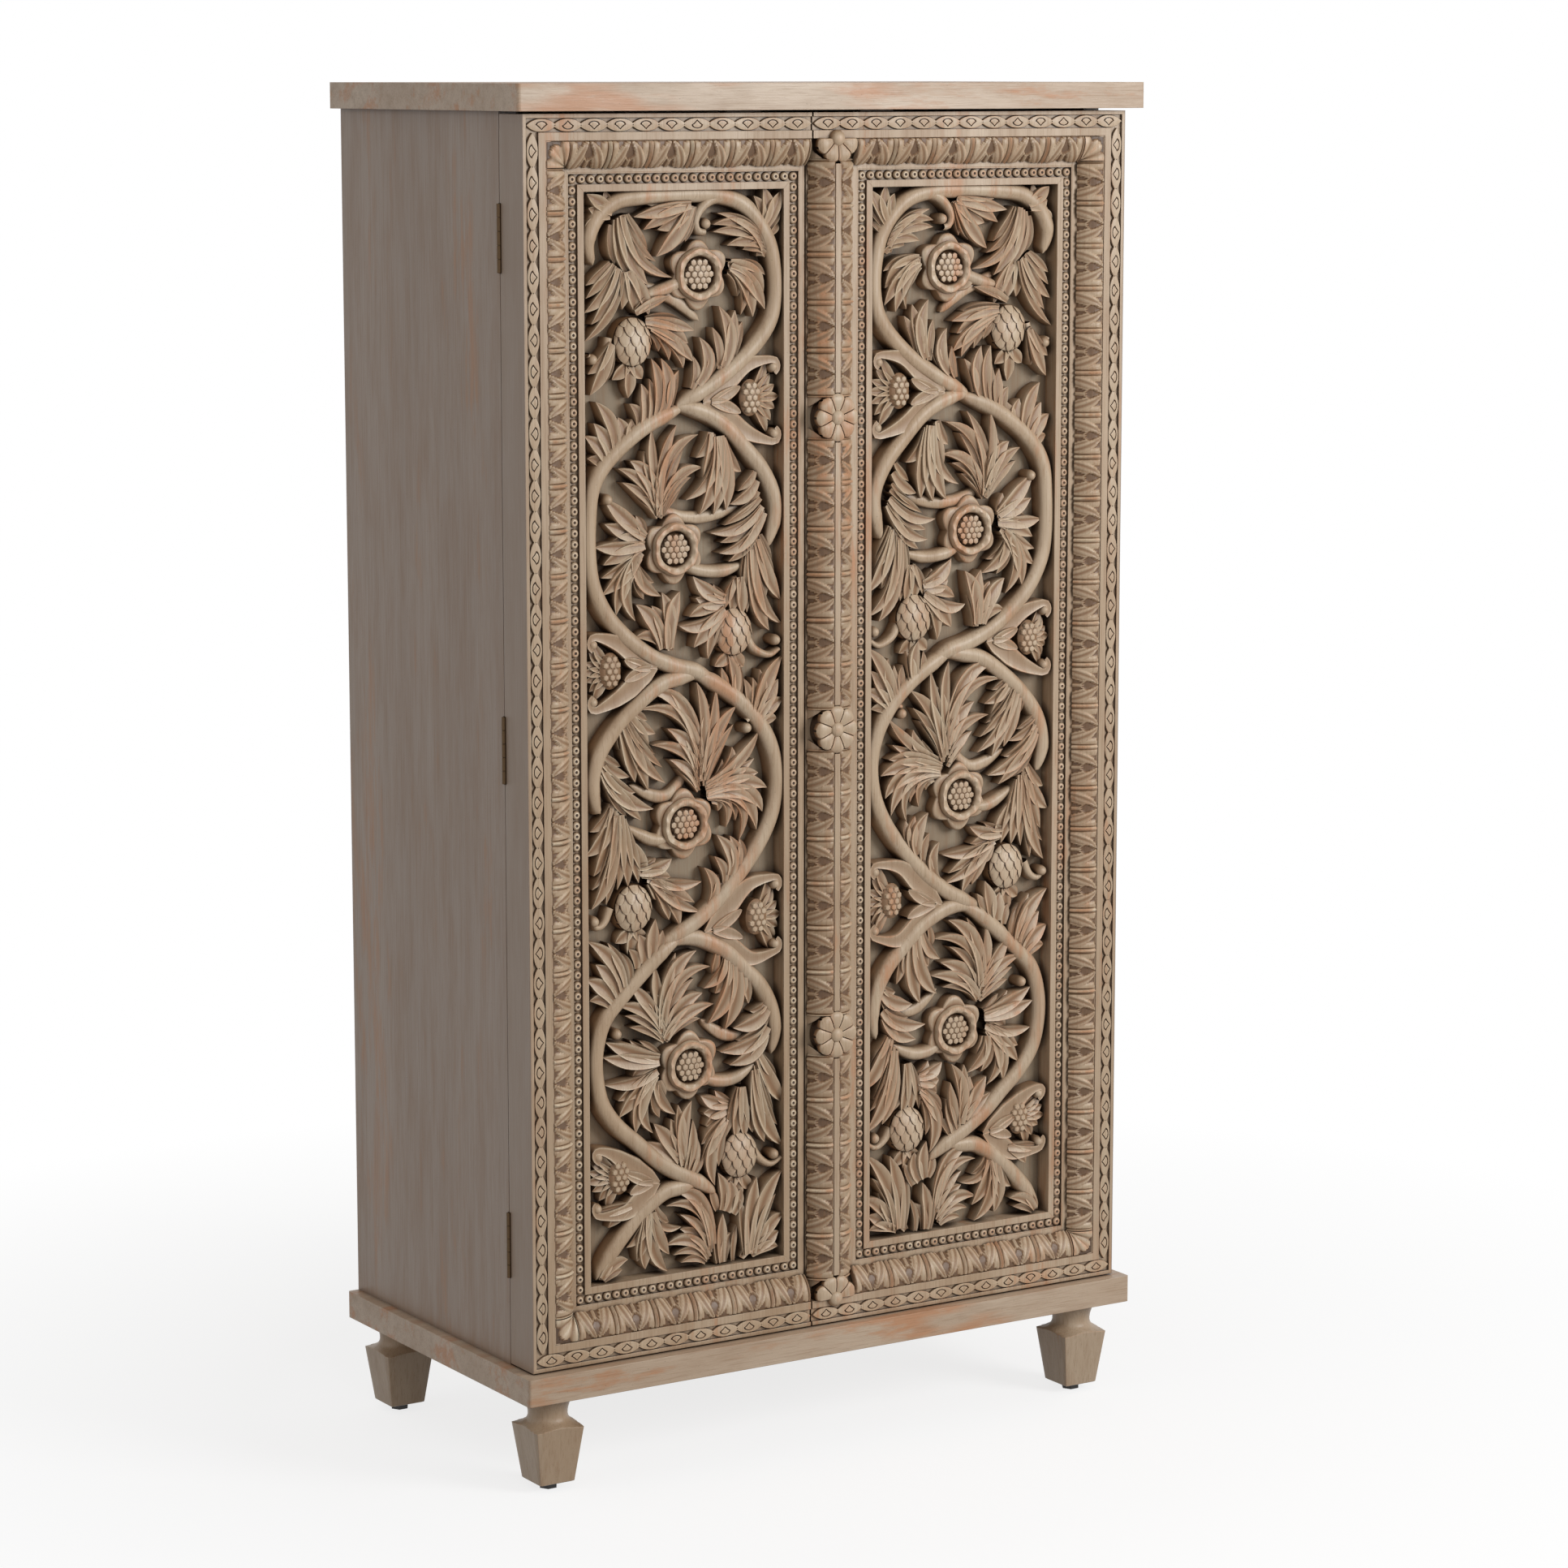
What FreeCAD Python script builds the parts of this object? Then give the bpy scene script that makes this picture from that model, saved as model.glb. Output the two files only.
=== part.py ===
import FreeCAD, Part
import math
import os
import re
import Sketcher

# Carved two-door storage cabinet, in millimetres.
# Origin on the floor under the middle of the cabinet, +Z up, doors towards -Y.

doc = FreeCAD.newDocument("storage_cabinet")
sheet = doc.addObject("Spreadsheet::Sheet", "Sizes")

# Driving dimensions
SIZES = [
    ("top_width", 840),
    ("top_depth", 450),
    ("top_thickness", 30),
    ("top_corner_radius", 4),
    ("base_side_setback", 1),
    ("base_front_setback", 1.7),
    ("base_thickness", 32),
    ("base_corner_radius", 3),
    ("body_width", 810),
    ("body_height", 1412),
    ("body_front_setback", 71),
    ("side_thickness", 22),
    ("back_thickness", 6),
    ("back_rebate_width", 10),
    ("shelf_thickness", 18),
    ("shelf_front_setback", 6),
    ("cleat_width", 15),
    ("cleat_height", 20),
    ("cleat_front_setback", 30),
    ("cleat_back_gap", 15),
    # Feet
    ("glide_height", 9),
    ("glide_radius", 11),
    ("block_height", 68),
    ("block_top_side", 63),
    ("block_bottom_side", 45),
    ("neck_height", 36),
    ("shoulder_corner_drop", 3),
    ("dome_rise", 4),
    ("dome_radius", 26),
    ("waist_rise", 11),
    ("waist_radius", 23),
    ("flare_radius", 29),
    ("foot_side_inset", 50.7),
    ("foot_front_inset", 49.6),
    ("foot_back_inset", 33),
    # Doors
    ("seam_gap", 1),
    ("door_thickness", 52),
    ("door_bottom_gap", 1.5),
    ("door_top_gap", 3),
    ("meeting_gap", 2),
    ("meeting_offset", 31.5),
    ("edge_strip_width", 4.5),
    ("chain_channel_width", 15.5),
    ("chain_channel_depth", 3),
    ("flat_strip_width", 9),
    ("quirk_depth", 1),
    ("leaf_band_width", 29),
    ("leaf_band_radius", 30),
    ("fillet_strip_width", 6),
    ("step_depth", 16),
    ("bead_strip_width", 21),
    ("bead_strip_thickness", 9),
    ("bead_lip_width", 1.5),
    ("bead_channel_width", 11.5),
    ("bead_channel_depth", 4),
    ("tongue_thickness", 14),
    ("rabbet_width", 10),
    ("meeting_shoulder", 39),
    ("panel_thickness", 6),
    ("panel_clearance", 0.5),
    ("tenon_length", 18),
    ("tenon_thickness", 8),
    ("tenon_height", 45),
    ("tenon_edge_distance", 20),
    ("tenon_front_cheek", 3),
    ("tenon_clearance", 0.1),
    # Astragal and rosettes
    ("astragal_strip_width", 7),
    ("astragal_strip_rise", 5),
    ("astragal_half_width", 28),
    ("rosette_radius", 28),
    ("rosette_clearance", 0.3),
    ("rosette_low_height", 347),
    ("rosette_middle_height", 706),
    ("rosette_high_height", 1065),
    ("petal_tip_width", 14),
    ("petal_root_width", 6),
    ("petal_rise", 3),
    ("button_radius", 10),
    ("button_crown_radius", 5),
    ("button_rise", 9),
    # Hinges
    ("lower_hinge_height", 140),
    ("upper_hinge_drop", 138),
    ("hinge_length", 76),
    ("hinge_leaf_width", 20),
    ("hinge_leaf_thickness", 2),
    ("hinge_leaf_gap", 0.4),
    ("hinge_axis_offset", 0.8),
    ("barrel_radius", 2.75),
    ("pin_radius", 1.5),
    ("pin_clearance", 0.05),
    ("knuckle_gap", 0.3),
    ("recess_clearance", 0.35),
    ("mortise_clearance", 0.3),
    # Catches
    ("catch_width", 46),
    ("catch_depth", 14),
    ("catch_height", 15),
    ("catch_centre_distance", 90),
    ("catch_gap", 0.3),
    ("strike_width", 40),
    ("strike_height", 12),
    ("strike_thickness", 1.2),
    ("strike_edge_distance", 1),
    # Fret
    ("fret_crest_depth", 17),
    ("leaf_relief", 4),
    ("flower_dome_rise", 2),
]

for row, (name, number) in enumerate(SIZES, start=1):
    sheet.set(f"A{row}", name)
    sheet.set(f"B{row}", str(number))
    sheet.setAlias(f"B{row}", name)
doc.recompute()


def formula(text):
    """Write the text as an expression that reads its sizes from the sheet."""
    return re.sub(r"[a-z]+(?:_[a-z]+)+", lambda found: "Sizes." + found.group(0), text)


def value(text):
    """Work out a formula in millimetres."""
    result = sheet.evalExpression(formula(text))
    return float(getattr(result, "Value", result))


def bind(thing, **properties):
    """Tie properties of an object to formulas."""
    for name, text in properties.items():
        thing.setExpression(name, formula(text))


def move(thing, x="0", y="0", z="0"):
    """Tie the place of an object to formulas."""
    thing.setExpression("Placement.Base.x", formula(x))
    thing.setExpression("Placement.Base.y", formula(y))
    thing.setExpression("Placement.Base.z", formula(z))


# Places that several pieces share
base_bottom = "(glide_height + block_height + neck_height)"
body_bottom = f"({base_bottom} + base_thickness)"
body_top = f"({body_bottom} + body_height)"
front = "(-top_depth / 2)"
back = "(top_depth / 2)"
base_front = f"({front} + base_front_setback)"
base_side = "(top_width / 2 - base_side_setback)"
body_front = f"({front} + body_front_setback)"
side_outside = "(body_width / 2)"
side_inside = f"({side_outside} - side_thickness)"
back_panel_front = f"({back} - back_thickness)"

door_back = f"({body_front} - seam_gap)"
door_face = f"({door_back} - door_thickness)"
door_bottom = f"({body_bottom} + door_bottom_gap)"
door_top = f"({body_top} - door_top_gap)"
left_seam = "(-meeting_offset - meeting_gap / 2)"
right_seam = "(-meeting_offset + meeting_gap / 2)"

channel_end = "(edge_strip_width + chain_channel_width)"
flat_end = f"({channel_end} + flat_strip_width)"
leaf_end = f"({flat_end} + leaf_band_width)"
shoulder = f"({leaf_end} + fillet_strip_width)"
opening_edge = f"({shoulder} + bead_strip_width)"
rabbet_edge = f"({opening_edge} - rabbet_width)"
step_face = f"({door_face} + step_depth)"
tongue_front = f"({step_face} + bead_strip_thickness)"
tongue_back = f"({tongue_front} + tongue_thickness)"
meeting_opening = "(meeting_shoulder + bead_strip_width)"
meeting_rabbet = f"({meeting_opening} - rabbet_width)"

nodes = []


def node(thing, name):
    """Name a finished sub-part."""
    thing.Label = name
    nodes.append(thing)
    return thing


def span(pair):
    """The distance from the first formula to the second."""
    return f"({pair[1]}) - ({pair[0]})"


def board(name, x, y, z):
    """A box between pairs of formulas."""
    box = doc.addObject("Part::Box", name)
    bind(box, Length=span(x), Width=span(y), Height=span(z))
    move(box, x[0], y[0], z[0])
    return box


# Small turned pieces that repeat are faceted, to keep them light
small_sides = 6


def faceted_rod(name, x, y, z, radius):
    """An upright many-sided rod inside a radius, from z[0] to z[1]."""
    prism = doc.addObject("Part::Prism", name)
    prism.Polygon = small_sides
    bind(prism, Circumradius=radius, Height=span(z))
    move(prism, x, y, z[0])
    return prism


def faceted_space(name, x, y, z, radius):
    """The same, but outside the radius, as a space round a rod."""
    return faceted_rod(name, x, y, z, f"({radius}) / cos(180 deg / {small_sides})")


def cut(name, base, tool):
    """The base less the tool."""
    result = doc.addObject("Part::Cut", name)
    result.Base = base
    result.Tool = tool
    return result


def fuse(name, pieces):
    """Several shapes as one."""
    result = doc.addObject("Part::MultiFuse", name)
    result.Shapes = pieces
    return result


def group(name, pieces):
    """Several separate solids as one object."""
    result = doc.addObject("Part::Compound", name)
    result.Links = pieces
    return result


def mirror(name, source):
    """The same piece for the other side of the cabinet."""
    result = doc.addObject("Part::Mirroring", name)
    result.Source = source
    result.Normal = FreeCAD.Vector(1, 0, 0)
    result.Base = FreeCAD.Vector(0, 0, 0)
    return result


def body(name):
    """An empty body."""
    return doc.addObject("PartDesign::Body", name)


def sketch_on(owner, plane, height="0", across="0", up="0"):
    """A sketch on one of the body's own planes, moved out by a formula."""
    sketch = owner.newObject("Sketcher::SketchObject", owner.Name + "_sketch")
    support = [feature for feature in owner.Origin.OriginFeatures if feature.Role == plane][0]
    sketch.AttachmentSupport = [(support, "")]
    sketch.MapMode = "FlatFace"
    sketch.setExpression("AttachmentOffset.Base.x", formula(across))
    sketch.setExpression("AttachmentOffset.Base.y", formula(up))
    sketch.setExpression("AttachmentOffset.Base.z", formula(height))
    return sketch


def arc_between(start, end, radius):
    """An arc that bulges left of the way from start to end, or right for a negative radius."""
    chord = end - start
    sagitta_leg = math.sqrt(radius ** 2 - (chord.Length / 2) ** 2)
    left = FreeCAD.Vector(-chord.y, chord.x, 0).normalize()
    centre = (start + end) / 2 - left * math.copysign(sagitta_leg, radius)
    first, last = (end, start) if radius > 0 else (start, end)
    first_angle = math.atan2(first.y - centre.y, first.x - centre.x)
    last_angle = math.atan2(last.y - centre.y, last.x - centre.x)
    if last_angle < first_angle:
        last_angle += 2 * math.pi
    circle = Part.Circle(centre, FreeCAD.Vector(0, 0, 1), abs(radius))
    return Part.ArcOfCircle(circle, first_angle, last_angle)


def outline(sketch, corners):
    """Draw a closed outline. A corner is (across, up) in formulas, and a third entry is the
    radius of an arc that leaves it, negative where it bulges to the right of the way round."""
    points = [FreeCAD.Vector(value(corner[0]), value(corner[1]), 0) for corner in corners]
    ends = []
    count = len(corners)
    for index, corner in enumerate(corners):
        start = points[index]
        end = points[(index + 1) % count]
        if len(corner) == 2:
            side = sketch.addGeometry(Part.LineSegment(start, end), False)
            ends.append((side, 1, 2))
            continue
        radius = value(corner[2])
        side = sketch.addGeometry(arc_between(start, end, radius), False)
        ends.append((side, 2, 1) if radius > 0 else (side, 1, 2))
        bound = sketch.addConstraint(Sketcher.Constraint("Radius", side, abs(radius)))
        sketch.setExpression(f"Constraints[{bound}]", formula(f"abs({corner[2]})"))
    for index, corner in enumerate(corners):
        side, first, _ = ends[index]
        previous, _, last = ends[index - 1]
        sketch.addConstraint(Sketcher.Constraint("Coincident", previous, last, side, first))
        for kind, axis, text, place in (
            ("DistanceX", -2, corner[0], points[index].x),
            ("DistanceY", -1, corner[1], points[index].y),
        ):
            if text == "0":
                sketch.addConstraint(Sketcher.Constraint("PointOnObject", side, first, axis))
                continue
            bound = sketch.addConstraint(Sketcher.Constraint(kind, -1, 1, side, first, place))
            sketch.setExpression(f"Constraints[{bound}]", formula(text))


def pad(owner, sketch, length):
    """Extrude a sketch by a formula."""
    feature = owner.newObject("PartDesign::Pad", owner.Name + "_pad")
    feature.Profile = sketch
    bind(feature, Length=length)
    return feature


def pocket(owner, sketch, depth):
    """Cut a sketch into the body, against the sketch's normal."""
    feature = owner.newObject("PartDesign::Pocket", owner.Name + "_pocket")
    feature.Profile = sketch
    bind(feature, Length=depth)
    return feature


def rectangle(x, z):
    """The corners of a rectangle between pairs of formulas."""
    return [(x[0], z[0]), (x[1], z[0]), (x[1], z[1]), (x[0], z[1])]


# Top and base boards, with rounded upright corners
def rounded_board(name, x, y, z, radius):
    panel = body(name)
    plan = sketch_on(panel, "XY_Plane", z[0])
    outline(plan, rectangle(x, y))
    slab = pad(panel, plan, f"{z[1]} - {z[0]}")
    doc.recompute()
    upright = []
    for index, edge in enumerate(slab.Shape.Edges, start=1):
        ends = edge.Vertexes
        if abs(ends[0].Z - ends[-1].Z) > value(radius):
            upright.append(f"Edge{index}")
    rounding = panel.newObject("PartDesign::Fillet", name + "_rounding")
    rounding.Base = (slab, upright)
    bind(rounding, Radius=radius)
    return panel


top_board = rounded_board(
    "top_board",
    ("-top_width / 2", "top_width / 2"),
    (front, back),
    (body_top, f"{body_top} + top_thickness"),
    "top_corner_radius",
)
node(top_board, "top_board")
base_board = rounded_board(
    "base_board",
    (f"-{base_side}", base_side),
    (base_front, back),
    (base_bottom, body_bottom),
    "base_corner_radius",
)
node(base_board, "base_board")

# Feet: a flared neck and domed shoulder turned on a square tapered block
foot_x = f"(foot_side_inset - {base_side})"
front_foot_y = f"({base_front} + foot_front_inset)"
back_foot_y = f"({back} - foot_back_inset)"
block_top = "(glide_height + block_height)"
block_taper = "((block_top_side - block_bottom_side) / 2 / block_height)"
block_reach = f"(block_bottom_side / 2 + {block_taper} * (block_height + neck_height))"
turned_sides = 16

foot = body("turned_foot")
block = foot.newObject("PartDesign::AdditiveWedge", "foot_block")
# The wedge tapers along its own Y, which stands upright here
block.Placement.Rotation = FreeCAD.Rotation(FreeCAD.Vector(1, 0, 0), 90)
move(block, foot_x, front_foot_y)
bind(
    block,
    Ymin="glide_height",
    Ymax=base_bottom,
    Xmin="-block_bottom_side / 2",
    Xmax="block_bottom_side / 2",
    Zmin="-block_bottom_side / 2",
    Zmax="block_bottom_side / 2",
    X2min=f"-{block_reach}",
    X2max=block_reach,
    Z2min=f"-{block_reach}",
    Z2max=block_reach,
)
doc.recompute()
waste = sketch_on(foot, "XZ_Plane", f"-{front_foot_y}", foot_x)
outline(waste, [
    ("block_top_side", f"{block_top} - shoulder_corner_drop"),
    ("block_top_side", base_bottom),
    ("flare_radius", base_bottom),
    ("waist_radius", f"{block_top} + waist_rise"),
    ("dome_radius", f"{block_top} + dome_rise"),
    ("block_top_side / 2", block_top),
    ("block_top_side / sqrt(2)", f"{block_top} - shoulder_corner_drop"),
])
first_cut = pocket(foot, waste, "block_top_side * 2")
first_cut.Midplane = True
doc.recompute()
turning = foot.newObject("PartDesign::PolarPattern", "foot_turning")
turning.Originals = [first_cut]
turning.Axis = (waste, ["V_Axis"])
turning.Angle = 360
turning.Occurrences = turned_sides
foot.Tip = turning

front_left_foot = node(group("front_left", [foot]), "front_left_foot")
back_left_foot = node(group("back_left", [foot]), "back_left_foot")
move(back_left_foot, y=f"{back_foot_y} - {front_foot_y}")
node(mirror("front_right", front_left_foot), "front_right_foot")
node(mirror("back_right", back_left_foot), "back_right_foot")
left_glides = group("left_glides", [
    faceted_rod("front_glide", foot_x, front_foot_y, ("0", "glide_height"), "glide_radius"),
    faceted_rod("back_glide", foot_x, back_foot_y, ("0", "glide_height"), "glide_radius"),
])
node(group("glides", [left_glides, mirror("right_glides", left_glides)]), "foot_glides")

# Hinges: five knuckles each, three on the frame leaf and two on the door leaf
axis_x = f"(-{side_outside} - hinge_axis_offset)"
axis_y = f"({body_front} - seam_gap / 2)"
leaf_tip = f"(hinge_leaf_width - {side_outside})"
frame_leaf_y = (
    f"{axis_y} + hinge_leaf_gap / 2",
    f"{axis_y} + hinge_leaf_gap / 2 + hinge_leaf_thickness",
)
door_leaf_y = (
    f"{axis_y} - hinge_leaf_gap / 2 - hinge_leaf_thickness",
    f"{axis_y} - hinge_leaf_gap / 2",
)
hinge_low = f"({body_bottom} + lower_hinge_height)"
hinge_high = f"({body_top} - upper_hinge_drop)"
hinge_heights = {
    "lower": hinge_low,
    "middle": f"(({hinge_low} + {hinge_high}) / 2)",
    "upper": hinge_high,
}
knuckle_count = 5


def knuckle_reach(bottom, index, gap):
    """The height of one knuckle, drawn in by half a gap at each end, or let out by it."""
    return (
        f"{bottom} + hinge_length * {index} / {knuckle_count} {gap} knuckle_gap / 2",
        f"{bottom} + hinge_length * {index + 1} / {knuckle_count} - (0 {gap} knuckle_gap / 2)",
    )


def hinge_leaf(name, bottom, leaf_y, own):
    z = (bottom, f"{bottom} + hinge_length")
    solid = [board(name + "_plate", (axis_x, leaf_tip), leaf_y, z)]
    space = [faceted_space(name + "_bore", axis_x, axis_y, z, "pin_radius + pin_clearance")]
    for index in range(knuckle_count):
        if index % 2 == own:
            reach = knuckle_reach(bottom, index, "+")
            solid.append(faceted_rod(name + "_knuckle", axis_x, axis_y, reach, "barrel_radius"))
            continue
        reach = knuckle_reach(bottom, index, "-")
        clear = "barrel_radius + knuckle_gap"
        space.append(faceted_space(name + "_space", axis_x, axis_y, reach, clear))
    return cut(name, fuse(name + "_blank", solid), group(name + "_spaces", space))


frame_leaves = []
door_leaves = []
pins = []
recesses = []
for level, centre in hinge_heights.items():
    bottom = f"({centre} - hinge_length / 2)"
    reach = (bottom, f"{bottom} + hinge_length")
    frame_leaves.append(hinge_leaf(f"{level}_frame_leaf", bottom, frame_leaf_y, 0))
    door_leaves.append(hinge_leaf(f"{level}_door_leaf", bottom, door_leaf_y, 1))
    pins.append(faceted_rod(f"{level}_pin", axis_x, axis_y, reach, "pin_radius"))
    recess_reach = (f"{reach[0]} - mortise_clearance", f"{reach[1]} + mortise_clearance")
    hollow_radius = "barrel_radius + recess_clearance"
    hollow = faceted_space(f"{level}_hollow", axis_x, axis_y, recess_reach, hollow_radius)
    mortise = board(
        f"{level}_mortise",
        (axis_x, f"{leaf_tip} + mortise_clearance"),
        (door_leaf_y[0], frame_leaf_y[1]),
        recess_reach,
    )
    recesses.append(fuse(f"{level}_recess", [hollow, mortise]))
hinge_recesses = group("hinge_recesses", recesses)

left_frame_leaves = node(group("left_frame_leaves", frame_leaves), "left_hinge_frame_leaves")
left_door_leaves = node(group("left_door_leaves", door_leaves), "left_hinge_door_leaves")
left_pins = node(group("left_pins", pins), "left_hinge_pins")
node(mirror("right_frame_leaves", left_frame_leaves), "right_hinge_frame_leaves")
node(mirror("right_door_leaves", left_door_leaves), "right_hinge_door_leaves")
node(mirror("right_pins", left_pins), "right_hinge_pins")

# Side panels, rebated for the back panel and let in for the hinges
side_body = body("side_board")
plan = sketch_on(side_body, "XY_Plane", body_bottom)
rebate_x = f"(back_rebate_width - {side_inside} - back_rebate_width * 2)"
outline(plan, [
    (f"-{side_outside}", body_front),
    (f"-{side_inside}", body_front),
    (f"-{side_inside}", back_panel_front),
    (rebate_x, back_panel_front),
    (rebate_x, back),
    (f"-{side_outside}", back),
])
pad(side_body, plan, "body_height")
left_side = node(cut("left_side", side_body, hinge_recesses), "left_side_panel")
node(mirror("right_side", left_side), "right_side_panel")

back_side = f"({side_inside} + back_rebate_width)"
node(
    board("back_board", (f"-{back_side}", back_side), (back_panel_front, back), (body_bottom, body_top)),
    "back_panel",
)

# Shelves at equal spacing, each on two cleats
shelf_names = ["lower", "middle", "upper"]
shelf_count = len(shelf_names)
bay_height = f"((body_height - {shelf_count} * shelf_thickness) / {shelf_count + 1})"
for index, level in enumerate(shelf_names):
    bottom = f"({body_bottom} + {bay_height} * {index + 1} + shelf_thickness * {index})"
    node(
        board(
            f"{level}_shelf_board",
            (f"-{side_inside}", side_inside),
            (f"{body_front} + shelf_front_setback", back_panel_front),
            (bottom, f"{bottom} + shelf_thickness"),
        ),
        f"{level}_shelf",
    )
    cleat = board(
        f"left_{level}_cleat",
        (f"-{side_inside}", f"cleat_width - {side_inside}"),
        (f"{body_front} + cleat_front_setback", f"{back_panel_front} - cleat_back_gap"),
        (f"{bottom} - cleat_height", bottom),
    )
    node(cleat, f"left_{level}_cleat")
    node(mirror(f"right_{level}_cleat", cleat), f"right_{level}_cleat")

# Magnetic catches under the top board and their strike plates on the doors
catch_x = ("-catch_centre_distance - catch_width / 2", "catch_width / 2 - catch_centre_distance")
catch_y = f"({door_back} + strike_thickness + catch_gap)"
left_catch = board(
    "left_catch", catch_x, (catch_y, f"{catch_y} + catch_depth"), (f"{body_top} - catch_height", body_top)
)
node(left_catch, "left_catch")
node(mirror("right_catch", left_catch), "right_catch")
strike_top = f"({door_top} - strike_edge_distance)"
left_strike = board(
    "left_strike",
    ("-catch_centre_distance - strike_width / 2", "strike_width / 2 - catch_centre_distance"),
    (door_back, f"{door_back} + strike_thickness"),
    (f"{strike_top} - strike_height", strike_top),
)
node(left_strike, "left_strike_plate")
node(mirror("right_strike", left_strike), "right_strike_plate")


# Door frame mouldings, measured in from an edge at `edge` in the direction `way`
def band(edge, way):
    """The raised band along a top or bottom edge, front to the left."""
    return [
        (door_face, edge),
        (door_face, f"{edge} {way} {flat_end}"),
        (f"{door_face} + quirk_depth", f"{edge} {way} {flat_end}",
         "leaf_band_radius" if way == "-" else "-leaf_band_radius"),
        (step_face, f"{edge} {way} {leaf_end}"),
        (step_face, f"{edge} {way} {shoulder}"),
        (tongue_front, f"{edge} {way} {shoulder}"),
        (tongue_front, edge),
    ]


def add_bands(owner, start, length):
    """Run the top and bottom bands over a body from x = start."""
    for edge, way in ((door_bottom, "+"), (door_top, "-")):
        section = sketch_on(owner, "YZ_Plane", start)
        outline(section, band(edge, way))
        pad(owner, section, length)


def cut_channels(owner, x):
    """Sink the chain channels of the top and bottom bands between two places."""
    for edge, way in ((door_bottom, "+"), (door_top, "-")):
        groove = sketch_on(owner, "XZ_Plane", f"-{door_face}")
        outline(groove, rectangle(x, (
            f"{edge} {way} edge_strip_width",
            f"{edge} {way} {channel_end}",
        )))
        pocket(owner, groove, "chain_channel_depth")


def cut_rosette_housings(owner, x):
    """Stop the leaf bands short of the half rosettes at the ends of the astragal."""
    for edge, way in ((door_bottom, "+"), (door_top, "-")):
        housing = sketch_on(owner, "XZ_Plane", f"-{door_face}")
        outline(housing, rectangle(x, (f"{edge} {way} {flat_end}", f"{edge} {way} {leaf_end}")))
        pocket(owner, housing, "step_depth")


def tenon(name, x, edge, way, clearance="0"):
    """A rail tenon, or with clearance its mortise."""
    near = f"{edge} {way} tenon_edge_distance"
    far = f"{edge} {way} (tenon_edge_distance + tenon_height)"
    low, high = (near, far) if way == "+" else (far, near)
    tongue_face = f"({tongue_front} + tenon_front_cheek)"
    return board(
        name,
        (f"{x[0]} - {clearance}", f"{x[1]} + {clearance}"),
        (f"{tongue_face} - {clearance}", f"{tongue_face} + tenon_thickness + {clearance}"),
        (f"{low} - {clearance}", f"{high} + {clearance}"),
    )


rail_edges = {"bottom": (door_bottom, "+"), "top": (door_top, "-")}
outer_opening_x = f"({opening_edge} - {side_outside})"
outer_tenon_x = (f"{outer_opening_x} - tenon_length", outer_opening_x)
meeting_tenon_x = (f"-{meeting_opening}", f"tenon_length - {meeting_opening}")
mortises = []
for position, (edge, way) in rail_edges.items():
    for end, x in (("outer", outer_tenon_x), ("meeting", meeting_tenon_x)):
        mortises.append(tenon(f"{position}_{end}_mortise", x, edge, way, "tenon_clearance"))
left_mortises = group("left_mortises", mortises)
right_mortises = mirror("right_mortises", left_mortises)

# Hinge stile: flat strip, leaf band, step, tongue and rabbet, with the bands over its ends
stile_height = f"{door_top} - {door_bottom}"
outer_edge = f"-{side_outside}"
stile = body("hinge_stile")
section = sketch_on(stile, "XY_Plane", door_bottom)
outline(section, [
    (outer_edge, door_back),
    (outer_edge, door_face),
    (f"{outer_edge} + {flat_end}", door_face),
    (f"{outer_edge} + {flat_end}", f"{door_face} + quirk_depth", "-leaf_band_radius"),
    (f"{outer_edge} + {leaf_end}", step_face),
    (f"{outer_edge} + {shoulder}", step_face),
    (f"{outer_edge} + {shoulder}", tongue_front),
    (outer_opening_x, tongue_front),
    (outer_opening_x, tongue_back),
    (f"{outer_edge} + {rabbet_edge}", tongue_back),
    (f"{outer_edge} + {rabbet_edge}", door_back),
])
pad(stile, section, stile_height)
add_bands(stile, outer_edge, shoulder)
ring = sketch_on(stile, "XZ_Plane", f"-{door_face}")
ring_low = f"{door_bottom} + edge_strip_width"
ring_high = f"{door_top} - edge_strip_width"
outline(ring, [
    (f"{outer_edge} + edge_strip_width", ring_low),
    (f"{outer_edge} + {shoulder}", ring_low),
    (f"{outer_edge} + {shoulder}", f"{door_bottom} + {channel_end}"),
    (f"{outer_edge} + {channel_end}", f"{door_bottom} + {channel_end}"),
    (f"{outer_edge} + {channel_end}", f"{door_top} - {channel_end}"),
    (f"{outer_edge} + {shoulder}", f"{door_top} - {channel_end}"),
    (f"{outer_edge} + {shoulder}", ring_high),
    (f"{outer_edge} + edge_strip_width", ring_high),
])
pocket(stile, ring, "chain_channel_depth")
mortised = cut("mortised_hinge_stile", stile, left_mortises)
left_stile = node(cut("left_hinge_stile", mortised, hinge_recesses), "left_hinge_stile")
node(mirror("right_hinge_stile", left_stile), "right_hinge_stile")


# Meeting stiles: flat at the step, with the bands over their ends
def meeting_stile(name, way, seam, mortise_group):
    """A meeting stile between its seam and the opening at `way` (- left, + right)."""
    inner = f"0 {way} meeting_shoulder"
    opening = f"0 {way} {meeting_opening}"
    rabbet = f"0 {way} {meeting_rabbet}"
    blank = body(name + "_blank")
    section = sketch_on(blank, "XY_Plane", door_bottom)
    outline(section, [
        (seam, door_back),
        (seam, step_face),
        (inner, step_face),
        (inner, tongue_front),
        (opening, tongue_front),
        (opening, tongue_back),
        (rabbet, tongue_back),
        (rabbet, door_back),
    ])
    pad(blank, section, stile_height)
    start, end = (inner, seam) if way == "-" else (seam, inner)
    add_bands(blank, start, f"{end} - ({start})")
    cut_channels(blank, (start, end))
    if way == "+":
        cut_rosette_housings(blank, (start, "rosette_radius + rosette_clearance"))
    return node(cut(name, blank, mortise_group), name)


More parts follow.
